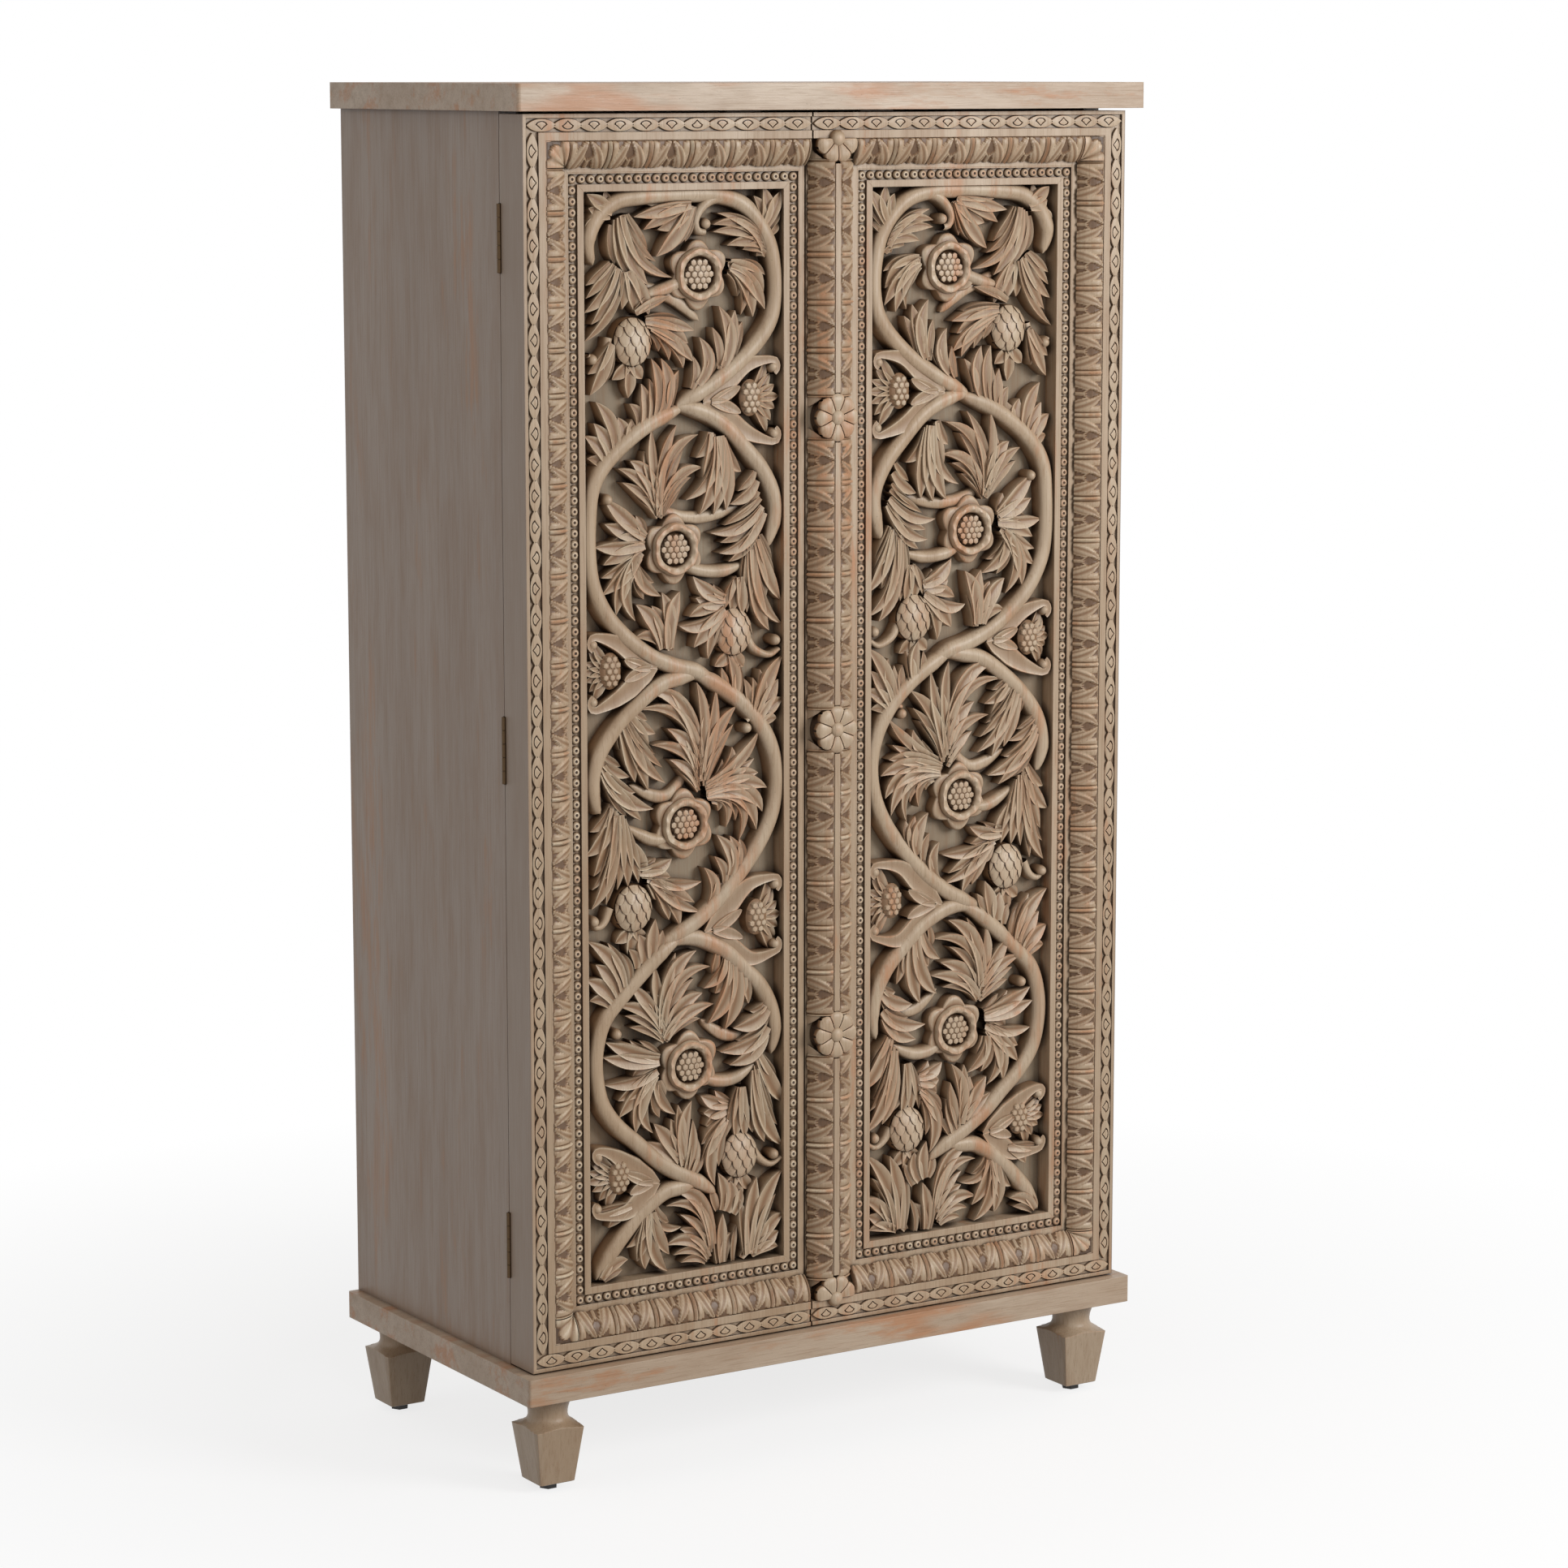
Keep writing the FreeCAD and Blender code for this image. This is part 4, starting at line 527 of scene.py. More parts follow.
# A finger's half width grows from a share of it at the root to all of it, then closes
FINGER_ROOT, FINGER_FULL, FINGER_CLOSING = 0.6, 0.55, 0.58
FINGER_BLUNTNESS, FINGER_POINT = 1.7, 0.02
FINGER_ARCH, FINGER_DROOP = 1.8, 4.0


def finger(carving, start, bend, tip, left, right, lift, count=12):
    """One pointed, hollow finger of a leaf, with its half widths to the left and right."""
    t = np.linspace(0, 1, count)
    growth = np.sin(np.clip(t / FINGER_FULL, 0, 1) * math.pi / 2)
    closing = ((t - FINGER_CLOSING) / (1 - FINGER_CLOSING)).clip(0, 1) ** FINGER_BLUNTNESS
    share = (FINGER_ROOT + (1 - FINGER_ROOT) * growth) * np.clip(1 - closing, FINGER_POINT, 1)
    heights = lift + FINGER_ARCH * np.sin(t * math.pi) - FINGER_DROOP * t ** 3
    line = bezier(start, bend, tip, count)
    carving.add_strip(line, left * share, heights, FLUTED_SECTION, right * share)


# Half widths of a leaf's fingers: the least and the most, by length, the one on an
# outer side, and the share of the gap to the next tip
FINGER_LEAST, FINGER_MOST, FINGER_OUTER = 4.0, 10.0, 4.2
FINGER_BY_LENGTH, FINGER_EXTRA = 0.2, 3.6
FINGER_GAP_SHARE = 0.62
LEAF_STACK_RISE = 2.4
LEAF_UNEVENNESS = 0.4


def leaf(carving, fingers, lift):
    """An acanthus leaf of overlapping fingers, the longest on top."""
    lines = [
        [fret_place(share[0:2]), fret_place(share[2:4]), fret_place(share[4:6])]
        for share in fingers
    ]
    tips = [tip for start, bend, tip in lines]
    reaches = [np.linalg.norm(tip - start) for start, bend, tip in lines]
    order = sorted(range(len(lines)), key=lambda index: reaches[index])
    for rank, index in enumerate(order):
        start, bend, tip = lines[index]
        chord = tip - start
        across = np.array([-chord[1], chord[0]]) / reaches[index]
        halves = {1: FINGER_OUTER, -1: FINGER_OUTER}
        for other in (index - 1, index + 1):
            if 0 <= other < len(tips):
                offset = (tips[other] - tip) @ across
                gap = max(abs(offset), 0.5 * np.linalg.norm(tips[other] - tip))
                halves[1 if offset > 0 else -1] = FINGER_GAP_SHARE * gap
        limit = min(FINGER_MOST, FINGER_BY_LENGTH * reaches[index] + FINGER_EXTRA)
        left, right = [min(max(halves[side], FINGER_LEAST), limit) for side in (1, -1)]
        uneven = dice.uniform(-LEAF_UNEVENNESS, LEAF_UNEVENNESS)
        raised = lift + LEAF_STACK_RISE * rank / len(order) + uneven
        finger(carving, start, bend, tip, left, right, raised)


SEED_RADIUS, SEED_RISE, SEED_SIDES, SEED_POWER = 4.5, 1.4, 6, 0.24


def seed_head(carving, centre, size, base, rise, pitch, limit, shift, sink, rings):
    """A domed head packed with seeds in staggered rows. size is the head's half width and
    half height, limit how far out the seeds go and pitch their spacing, across and up."""
    def domed(x, z, half, tall):
        """1 in the middle of an ellipse and 0 at its rim."""
        return 1 - (x / half) ** 2 - (z / tall) ** 2

    columns, rows = math.ceil(limit[0] / pitch[0]), math.floor(limit[1] / pitch[1])
    for row in range(-rows, rows + 1):
        for column in range(-columns, columns + 1):
            x = (column + shift + 0.5 * (row % 2)) * pitch[0]
            z = row * pitch[1]
            if domed(x, z, *limit) < 0:
                continue
            level = base + rise * math.sqrt(max(domed(x, z, *size), 0))
            place = (centre[0] + x, centre[1] + z)
            carving.add_dome(place, SEED_RADIUS, level - sink, level + SEED_RISE, rings,
                             SEED_SIDES, SEED_POWER, contrast=0.5, tone=0.4)


FLOWER_SIDES, FLOWER_RUFFLES = 96, 12
PETALS, PETAL_REACH, PETAL_LOBE = 6, 31.5, 9.0
PETAL_POINT = 1.3
PETAL_UNEVENNESS = 2.0
# Rings from the petals' edge in: (share of that edge, radius, more at a petal's middle,
# level, more at a petal's middle, ruffle, tone)
# Tones of 1 paint highlights on the rims; the last ring's tone below 0 paints shade under the head
FLOWER_RINGS = [
    (1.0, 0.0, 0.0, 0.0, 0.0, 0.0, 0.0),
    (1.0, 0.0, 0.0, 13.6, 0.0, 0.0, 0.2),
    (1.0, -1.2, 0.0, 15.6, 0.0, 0.0, 1.0),
    (1.0, -3.2, 0.0, 16.0, 1.0, 0.0, 0.6),
    (0.45, 16.5, 0.0, 15.6, 1.8, 0.0, 0.3),
    (0.0, 29.5, 1.0, 16.0, 1.5, 0.0, 0.0),
    (0.0, 29.0, 1.5, 19.5, 0.0, 0.0, 0.5),
    (0.0, 26.6, 1.8, 23.0, 0.0, 0.6, 1.0),
    (0.0, 23.8, 1.0, 23.4, 0.0, 0.6, 0.75),
    (0.0, 21.6, 0.0, 21.5, 0.0, 0.0, 0.5),
    (0.0, 20.0, 0.0, 17.5, 0.0, 0.0, 0.1),
    (0.0, 19.2, 0.0, 14.5, 0.0, 0.0, -0.3),
]
FLOWER_HEAD, FLOWER_HEAD_BASE, FLOWER_HEAD_RISE = 19.5, 14.0, 7.0
FLOWER_SEED_PITCH, FLOWER_SEED_LIMIT = (7.6, 7.6 * 0.866), (17.2, 17.2)


def flower(carving, place):
    """A ruffled bowl round a domed head of seeds, with six pointed petals under it."""
    centre = fret_place(place)
    angle = around(FLOWER_SIDES)
    lobe = np.abs(np.cos(PETALS / 2 * angle))
    sizes = [dice.uniform(-PETAL_UNEVENNESS, PETAL_UNEVENNESS) for petal in range(PETALS)]
    size = np.interp(angle * PETALS / (2 * math.pi), np.arange(PETALS + 1), sizes + sizes[:1])
    edge = PETAL_REACH + PETAL_LOBE * lobe ** PETAL_POINT + size
    ruffle = np.cos(FLOWER_RUFFLES * angle + dice.uniform(0, 6))
    carving.add_rings(centre, FLOWER_SIDES, [
        (share * edge + radius + wider * lobe, level + higher * lobe + ruffled * ruffle, tone)
        for share, radius, wider, level, higher, ruffled, tone in FLOWER_RINGS
    ])
    carving.add_dome(centre, FLOWER_HEAD, FLOWER_HEAD_BASE, FLOWER_HEAD_BASE + FLOWER_HEAD_RISE,
                     rings=6, sides=28, contrast=0.1, tone=-0.2)
    seed_head(carving, centre, (FLOWER_HEAD, FLOWER_HEAD), FLOWER_HEAD_BASE, FLOWER_HEAD_RISE,
              FLOWER_SEED_PITCH, FLOWER_SEED_LIMIT, shift=0.0, sink=0.6, rings=4)


CONE_HALF, CONE_TALL = 25.0, 28.0
CONE_BASE, CONE_RISE = 12.0, 11.0
SCALE_PITCH = (13.2, 11.0)
SCALE_ROWS, SCALE_COLUMNS, SCALE_OFFSET = range(2, -4, -1), range(-3, 4), 3.0
SCALE_START, SCALE_LENGTH = 0.9, 1.6
SCALE_REACH, SCALE_LIMIT = 1.3, 0.96
# Points of one scale, down it and across it, with the tone of each column: painted shade in
# the gaps at its sides, a painted highlight along its rim and a painted shadow under it
SCALE_DOWN = (0.0, 0.2, 0.45, 0.7, 0.9, 1.0)
SCALE_ACROSS = (-1.0, -0.98, -0.8, -0.4, 0.0, 0.4, 0.8, 0.98, 1.0)
SCALE_TONES = (-0.6, -0.6, 0.75, 0.75, 0.7, 0.75, 0.75, -0.6, -0.6)
SCALE_RIM_TONES = (0.3, 1.0, 1.0, 1.0, 1.0, 1.0, 1.0, 1.0, 0.3)
SCALE_SHADOW_TONE = -0.9


def cone(carving, place):
    """A seed cone covered in rounded scales, each with a painted shadow line on the ledge under
    its rim.
    """
    centre = fret_place(place)
    carving.add_dome(centre, CONE_HALF, CONE_BASE, CONE_BASE + CONE_RISE, rings=7, sides=32,
                     stretch=CONE_TALL / CONE_HALF, contrast=0.15)
    share, side = np.meshgrid(SCALE_DOWN, SCALE_ACROSS, indexing="ij")
    half = SCALE_PITCH[0] * 0.5 * np.sqrt(np.maximum(1 - share ** 4, 0.03))
    lift = np.where(np.abs(side) == 1, -1.6, 0.4 + 2.4 * share * (1 - 0.25 * side ** 2))
    tones = np.tile(SCALE_TONES, (len(SCALE_DOWN) + 2, 1))
    # Painted shade on the top row, under the scale above, and on the ledge under the rim
    tones[0] -= 0.3
    tones[-3] = SCALE_RIM_TONES
    tones[-2:] = SCALE_SHADOW_TONE
    for row in SCALE_ROWS:
        for column in SCALE_COLUMNS:
            x = (column + 0.5 * (row % 2)) * SCALE_PITCH[0]
            z = row * SCALE_PITCH[1] + SCALE_OFFSET
            if (x / CONE_HALF) ** 2 + ((z - 1) / CONE_TALL) ** 2 > SCALE_REACH:
                continue
            out, up = x + half * side, z + SCALE_PITCH[1] * (SCALE_START - SCALE_LENGTH * share)
            far = np.hypot(out / CONE_HALF, up / CONE_TALL)
            inside = SCALE_LIMIT / np.maximum(far, SCALE_LIMIT)
            out, up = out * inside, up * inside
            domed = np.maximum(1 - (out / CONE_HALF) ** 2 - (up / CONE_TALL) ** 2, 0)
            height = CONE_BASE + CONE_RISE * np.sqrt(domed) + lift
            grid = np.stack([centre[0] + out, centre[1] + up, height], axis=-1)
            under = grid[-1:] - (0.0, 0.5, 1.6)
            carving.add(np.concatenate([grid, under, under - (0.0, 1.5, 2.0)]), tones)


BERRY_SIZE = (14.0, 21.0)
BERRY_BASE, BERRY_RISE = 16.0, 5.5
BERRY_SEED_PITCH, BERRY_SEED_LIMIT = (7.8, 6.75), (11.5, 18.5)
# Where the crest's points stand across it, the longest last and on top
CREST_SHARES = (-1.0, 1.0, -0.66, 0.66, -0.33, 0.33, 0.0)
CREST_HALF, CREST_LIFT = 6.5, 15.5
# Half widths of a sepal along it
SEPAL_SHARES = (0, 0.12, 0.34, 0.55, 0.72, 0.86, 1)
SEPAL_WIDTHS = (2.0, 9.0, 12.6, 9.4, 5.4, 3.8, 2.4)
SEPAL_SPACING, SEPAL_HEIGHT, SEPAL_CURL_RISE = 4.0, 19.0, 2.0
INNER_SEPAL_POINTS, INNER_SEPAL_HEIGHT = 12, 20.5


def husk(carving, places, balls):
    """Two sepals from the fork that curl round their balls, a berry between them and a
    jagged crest beyond it."""
    apex, berry, high_tip, low_tip, point = [fret_place(place) for place in places]
    way, spread = point - apex, (high_tip - low_tip) / 2
    along, across = way / np.linalg.norm(way), spread / np.linalg.norm(spread)
    for share in CREST_SHARES:
        tip = berry + (point - berry) * (1 - 0.42 * abs(share)) + spread * share * 0.72
        bend = (berry + tip) / 2 + way * 0.05
        finger(carving, berry, bend, tip, CREST_HALF, CREST_HALF, CREST_LIFT)
    for ball, side in zip(balls, (1, -1)):
        ball = fret_place(ball)
        out = across * side * VOLUTE_RADIUS
        line = curve_through([
            apex,
            apex + way * 0.3 + spread * side * 0.36,
            apex + way * 0.56 + spread * side * 0.68,
            ball + out * 1.1 - along * 3.0,
            ball + out * 0.6 + along * 4.5,
            ball - out * 0.3 + along * 5.0,
            ball - out * 0.9 + along * 1.0,
        ], SEPAL_SPACING)
        t = np.linspace(0, 1, len(line))
        widths = np.interp(t, SEPAL_SHARES, SEPAL_WIDTHS)
        carving.add_strip(line, widths, SEPAL_HEIGHT + SEPAL_CURL_RISE * t, SEPAL_SECTION)
        bend = apex + way * 0.3 + spread * side * 0.1
        end = apex + way * 0.46 + spread * side * 0.26
        line = bezier(apex + way * 0.1, bend, end, INNER_SEPAL_POINTS)
        t = np.linspace(0.1, 1, INNER_SEPAL_POINTS)
        widths = 1.0 + 6.6 * np.sin(t * math.pi) ** 0.7
        heights = np.full(len(t), INNER_SEPAL_HEIGHT)
        carving.add_strip(line, widths, heights, SEPAL_SECTION)
    carving.add_dome(berry, BERRY_SIZE[0], BERRY_BASE, BERRY_BASE + BERRY_RISE, rings=5, sides=24,
                     stretch=BERRY_SIZE[1] / BERRY_SIZE[0], contrast=0.2)
    seed_head(carving, berry, BERRY_SIZE, BERRY_BASE, BERRY_RISE,
              BERRY_SEED_PITCH, BERRY_SEED_LIMIT, shift=-0.5, sink=0.4, rings=3)


# Stems and stalks: their places, half width and height
STEMS = [
    (STEM_SHARES, 10.0, 22.0),
    (STALK_SHARES, 7.5, 20.0),
    (BACK_STALK_SHARES, 7.5, 12.0),
]
STEM_SPACING, STEM_TAPER_STEPS = 5.0, 6
# A stem's end has these shares of its half width and height
STEM_END_HALF, STEM_END_HEIGHT = 0.35, 0.72
# Tapered curls: their places, spacing, half widths and heights from end to end
CURLS = [
    ([CURL_SHARES], 4.0, (7.5, 4.5), (21.0, 21.0)),
    (TENDRIL_SHARES, 3.0, (6.0, 3.5), (16.0, 19.0)),
]
BALL_RADIUS, BALL_BASE, BALL_TOP = 6.6, 15.0, 22.5
TUFT_HALF, TUFT_LIFT = 8.0, 15.0


def fret():
    """One door's carved fret."""
    carving = Carving(on_plane(FRET_BACK))
    for runs, half, height in STEMS:
        for places in runs:
            line = curve_through([fret_place(place) for place in places], STEM_SPACING)
            steps = np.arange(len(line))
            ends = np.clip(np.minimum(steps, steps[::-1]) / STEM_TAPER_STEPS, 0, 1) ** 0.6
            widths = half * (STEM_END_HALF + (1 - STEM_END_HALF) * ends)
            widths[[0, -1]] = 0.5
            heights = height * (STEM_END_HEIGHT + (1 - STEM_END_HEIGHT) * ends)
            carving.add_strip(line, widths, heights, ROUND_SECTION)
    for runs, spacing, halves, heights in CURLS:
        for places in runs:
            line = curve_through([fret_place(place) for place in places], spacing)
            widths, levels = [np.linspace(*ends, len(line)) for ends in (halves, heights)]
            carving.add_strip(line, widths, levels, ROUND_SECTION)
    for places, balls in zip(HUSK_SHARES, VOLUTE_SHARES):
        husk(carving, places, balls)
    for fingers in LEAF_SHARES:
        leaf(carving, fingers, LEAF_HEIGHT + dice.uniform(-1.0, 1.0))
    for place in FLOWER_SHARES:
        flower(carving, place)
    for place in CONE_SHARES:
        cone(carving, place)
    for root, *tips in TUFT_SHARES:
        start = fret_place(root)
        for tip in tips:
            end = fret_place(tip)
            middle = (start + end) / 2
            finger(carving, start, middle, end, TUFT_HALF, TUFT_HALF, TUFT_LIFT, count=9)
    for place in BALL_SHARES + sum(VOLUTE_SHARES, []):
        carving.add_dome(fret_place(place), BALL_RADIUS, BALL_BASE, BALL_TOP, rings=5, sides=18)
    return carving


# Chain of links in the sunk channels
LINK_PITCH = 34.4
LINK_OVERLAP = 0.585
LINK_SIDES = 14
LINK_TOP = CHANNEL_DEPTH + 0.2
EYE_HALF, EYE_HIGH, EYE_LOW = 6.4, 4.9, 3.6
LINKS_TURNED = 0.2


def link_rings():
    """Rings of one link, from its almond foot up over its rim and down into its fan-shaped
    eye: the points of each, (along, across), its height and its tone."""
    shares = np.cos(np.linspace(0, math.pi, LINK_SIDES, endpoint=False))
    shares = np.concatenate([shares, -shares])
    side = np.repeat((1.0, -1.0), LINK_SIDES)
    almond = np.stack([
        shares * LINK_PITCH * LINK_OVERLAP,
        side * CHANNEL_WIDTH * 0.49 * (1 - np.abs(shares) ** 2.4),
    ], axis=-1)
    high = EYE_HIGH * (1 - np.abs(shares)) ** 1.4
    low = -EYE_LOW * np.sqrt(1 - np.clip(shares ** 2, 0, 1))
    eye = np.stack([shares * EYE_HALF, np.where(side > 0, high, low) - 0.4], axis=-1)
    middle = eye.mean(axis=0)
    # Tones below 0 paint shade at the foot and in the groove round the eye; the rims get a painted
    # highlight
    return [
        (almond, 0.0, -0.5),
        (almond * (0.985, 0.96), LINK_TOP - 1.0, 0.4),
        (almond * (0.95, 0.88), LINK_TOP - 0.15, 1.0),
        (almond * (0.9, 0.78), LINK_TOP, 0.6),
        (eye * 1.12 + (almond - eye) * 0.06, LINK_TOP, 0.55),
        (eye * 1.04, LINK_TOP - 1.5, -0.45),
        (eye * 0.93 + middle * 0.07, LINK_TOP - 1.5, -0.45),
        (eye * 0.86 + middle * 0.14, LINK_TOP - 0.1, 0.9),
        (eye * 0.4 + middle * 0.6, LINK_TOP + 0.1, 0.55),
        (eye * 0.0 + middle, LINK_TOP + 0.1, 0.55),
    ]


LINK_RINGS = link_rings()


def chain(carving, start, end, inwards):
    """Links from a start to an end, near the pitch of the real ones. Each is turned to
    one side or the other."""
    start, end, inwards = [np.array(place, float) for place in (start, end, inwards)]
    reach = np.linalg.norm(end - start)
    count = max(1, round(reach / LINK_PITCH))
    way = (end - start) / reach
    inset = LINK_PITCH * (LINK_OVERLAP - 0.5)
    start, reach = start + way * inset, reach - 2 * inset
    tones = np.array([[tone] for flat, height, tone in LINK_RINGS])
    for index in range(count):
        centre = start + way * reach * (index + 0.5) / count
        turn = 1 if dice.random() > LINKS_TURNED else -1
        along, across = way * (reach / count / LINK_PITCH) * turn, inwards * turn
        grid = []
        for flat, height, tone in LINK_RINGS:
            place = centre + flat[:, :1] * along + flat[:, 1:] * across
            grid.append(np.column_stack([place, np.full(len(place), height)]))
        carving.add(np.array(grid), tones, closed=True)


# Leaf bands on the slopes, carved as one running surface of units from tie to tie
UNIT_LENGTH, UNIT_ACROSS = 50.0, 33.0
UNIT_ROWS, UNIT_COLUMNS = 36, 20
UNIT_VIGOUR = (0.85, 1.1)
GROUND = 0.3
RIB_POINTS = 40
SHALLOW_REACH, SHALLOW_SHARE = 8.0, 0.45
# The ties' tone paints a highlight on them; the ground's tone below 0 paints shade between the
# leaves
TIE_HALF, TIE_GAP, TIE_HEIGHT, TIE_BASE, TIE_TONE = 1.7, 3.2, 4.0, 0.6, 1.15
LEAF_TONE, GROUND_TONE = 0.82, -0.3
# Each leaf of half a unit: root, bend and tip as (from the middle, from the strip),
# its half width, its height, how blunt it is and how deep its vein
UNIT_LEAVES = [
    ((24.0, 33), (23.0, 16), (17.8, 1.0), 6.4, 2.5, 0.3, 0.3),
    ((17.5, 34), (13.4, 13), (0.9, 0.6), 5.3, 4.2, 0.6, 1.7),
    ((11.5, 34), (8.6, 24), (4.6, 12.5), 3.0, 3.2, 0.7, 1.2),
    ((0.0, 34), (0.0, 28), (0.0, 19.0), 1.8, 2.4, 0.4, 0.0),
    ((0.0, 23), (2.5, 22), (5.4, 16.0), 1.3, 2.1, 0.5, 0.0),
]


def near_strip(down):
    """Share of the carving's height that is left beside the strip it runs out against."""
    return SHALLOW_SHARE + (1 - SHALLOW_SHARE) * np.clip(down / SHALLOW_REACH, 0, 1)


def leaf_unit():
    """Heights and tones over one unit, from tie to tie."""
    along = np.linspace(-UNIT_LENGTH / 2, UNIT_LENGTH / 2, UNIT_ROWS + 1)
    across = np.linspace(0, UNIT_ACROSS, UNIT_COLUMNS + 1)
    spot = np.stack(np.meshgrid(np.abs(along), across, indexing="ij"), axis=-1)
    heights = np.full(spot.shape[:2], GROUND)
    tones = np.full(spot.shape[:2], GROUND_TONE)
    t = np.linspace(0, 1, RIB_POINTS)
    for root, bend, tip, half, height, blunt, vein in UNIT_LEAVES:
        rib = bezier(root, bend, tip, RIB_POINTS)
        far = np.linalg.norm(spot[..., None, :] - rib, axis=-1)
        near = far.argmin(axis=-1)
        widths = half * np.sin(math.pi * np.clip(0.2 + 0.8 * t, 0, 1)) ** blunt + 0.02
        share = far.min(axis=-1) / widths[near]
        rise = height * np.sqrt(np.clip(1 - share ** 3, 0, 1))
        rise = rise - vein * np.exp(-(share / 0.35) ** 2)
        shade = 1 - min(vein, 0.9) * (1 - np.clip((share - 0.15) / 0.5, 0, 1))
        shade = np.where(vein < 0.5, 0.5 + 0.3 * share, shade)
        over = (share < 1) & (rise > heights)
        heights = np.where(over, rise, heights)
        tones = np.where(over, shade, tones)
    from_tie = UNIT_LENGTH / 2 - spot[..., 0]
    ridge = TIE_HEIGHT * np.sqrt(np.clip(1 - (from_tie / TIE_HALF) ** 2, 0, 1))
    tones = np.where(tones > 0, tones * LEAF_TONE, tones)
    tones = np.where(ridge > 1.0, TIE_TONE, np.where(from_tie < TIE_GAP, 0.0, tones))
    heights = np.where(from_tie < TIE_GAP, heights * 0.4, heights)
    heights = np.where(from_tie < TIE_HALF, ridge + TIE_BASE, heights)
    heights = heights * near_strip(spot[..., 1])
    heights[:, [0, -1]] = -QUIRK / 2
    tones[:, [0, -1]] = 0.0
    return heights, tones


UNIT_HEIGHTS, UNIT_TONES = leaf_unit()


def leaf_run(carving, arc, start, end, inwards):
    """Whole units along a slope from start to end, (x, z) on its strip's edge."""
    start, end = np.array(start, float), np.array(end, float)
    reach = np.linalg.norm(end - start)
    count = max(1, round(reach / UNIT_LENGTH))
    along = np.linspace(0, reach, count * UNIT_ROWS + 1)
    across = np.linspace(0, arc.length, UNIT_COLUMNS + 1)
    heights, tones = [
        np.vstack([unit[:-1]] * count + [unit[-1:]]) for unit in (UNIT_HEIGHTS, UNIT_TONES)
    ]
    vigour = [dice.uniform(*UNIT_VIGOUR) for tie in range(count + 1)]
    heights = heights * np.interp(along, np.linspace(0, reach, count + 1), vigour)[:, None]
    heights[[0, -1]] = -QUIRK / 2
    flat = np.stack(np.meshgrid(along, across, indexing="ij"), axis=-1)
    carving.lay = on_slope(arc, start, (end - start) / reach, inwards)
    carving.add(np.concatenate([flat, heights[..., None]], axis=-1), tones)


CORNER_STEPS, CORNER_LOBES = 17, 4
# How far the corner leaf reaches, in shares of the band, in its clefts and more at its lobes
CORNER_REACH, CORNER_LOBE_REACH = 0.86, 0.2
CORNER_HEIGHT, CORNER_LOBE_RISE = 1.3, 2.2
CORNER_VEIN, CORNER_VEIN_WIDTH = 0.7, 0.06


def corner_leaf(carving, arc, place, run, inwards):
    """Half of the fluted leaf at a mitred corner. place is where the two strips' edges
    meet, run is the way from it along this half's own band."""
    down = np.linspace(0, arc.length, UNIT_COLUMNS + 1)
    reach = arc.place(down, 0 * down)[0]
    out = LEAF_BAND - reach
    grid, tones = [], []
    for share in np.linspace(0, 1, CORNER_STEPS):
        along = reach + out * share
        left = LEAF_BAND - along
        far = np.hypot(out, left) / LEAF_BAND
        lobe = np.abs(np.cos(np.arctan2(left, out + 1e-6) * CORNER_LOBES))
        inside = far < CORNER_REACH + CORNER_LOBE_REACH * lobe
        vein = CORNER_VEIN * np.exp(-((1 - lobe) / CORNER_VEIN_WIDTH))
        height = CORNER_HEIGHT + CORNER_LOBE_RISE * lobe ** 0.6 - vein
        height = np.where(inside, height, GROUND) * near_strip(down)
        height[[0, -1]] = -QUIRK / 2
        grid.append(np.stack([along, down, height], axis=-1))
        # Painted highlight towards the lobes, painted shade on the ground outside the leaf
        tones.append(np.where(inside, 0.05 + 0.9 * lobe, -0.4))
    carving.lay = on_slope(arc, place, run, inwards)
    carving.add(np.array(grid), np.array(tones))


# Beads in the channels round the opening
BEAD_PITCH, BEAD_RADIUS, BEAD_SIDES = 12.2, 5.6, 12
# A turned bead with a drilled dot: share of its radius, level and tone
BEAD_PROFILE = [
    # Its tones paint a highlight on the rim and shade in the drilled dot
    (1.0, 0.0, 0.0), (0.92, 1.8, 0.3), (0.72, 3.1, 0.55), (0.46, 3.9, 1.0), (0.34, 3.8, 1.0),
    (0.24, 3.0, -0.6), (0.0, 2.6, -0.6),
]


def beads():
    """The four runs of one door, with a bead at each corner."""
    carving = Carving(on_plane(STEP_DEPTH + BEAD_CHANNEL_DEPTH))
    inset = BEAD_LIP + BEAD_CHANNEL / 2
    low, high = STEP_LOW + inset, STEP_HIGH - inset
    left, right = STEP_OUTER + inset, STEP_INNER - inset
    across = round((right - left) / BEAD_PITCH)
    up = round((high - low) / BEAD_PITCH)
    places = []
    for index in range(across + 1):
        x = left + (right - left) * index / across
        places += [(x, low), (x, high)]
    for index in range(1, up):
        z = low + (high - low) * index / up
        places += [(left, z), (right, z)]
    profile = [(BEAD_RADIUS * share, level, tone) for share, level, tone in BEAD_PROFILE]
    for place in places:
        carving.add_rings(place, BEAD_SIDES, profile)
    return carving


# Rosettes on the astragal
ROSETTE_RADIUS = 28.0
ROSETTE_PETALS = 8
ROSETTE_LEVELS = (347.0, 706.0, 1065.0)
ROSETTE_CLEARANCE = ROSETTE_RADIUS * 0.8
PETAL_START, PETAL_HEIGHT, PETAL_ARCH, PETAL_DROOP = 6.0, 19.8, 2.6, 2.0
PETAL_WIDTHS = np.array([2.4, 3.2, 4.1, 5.0, 5.9, 6.8, 7.7, 8.6, 9.3, 9.0, 7.0, 1.5])
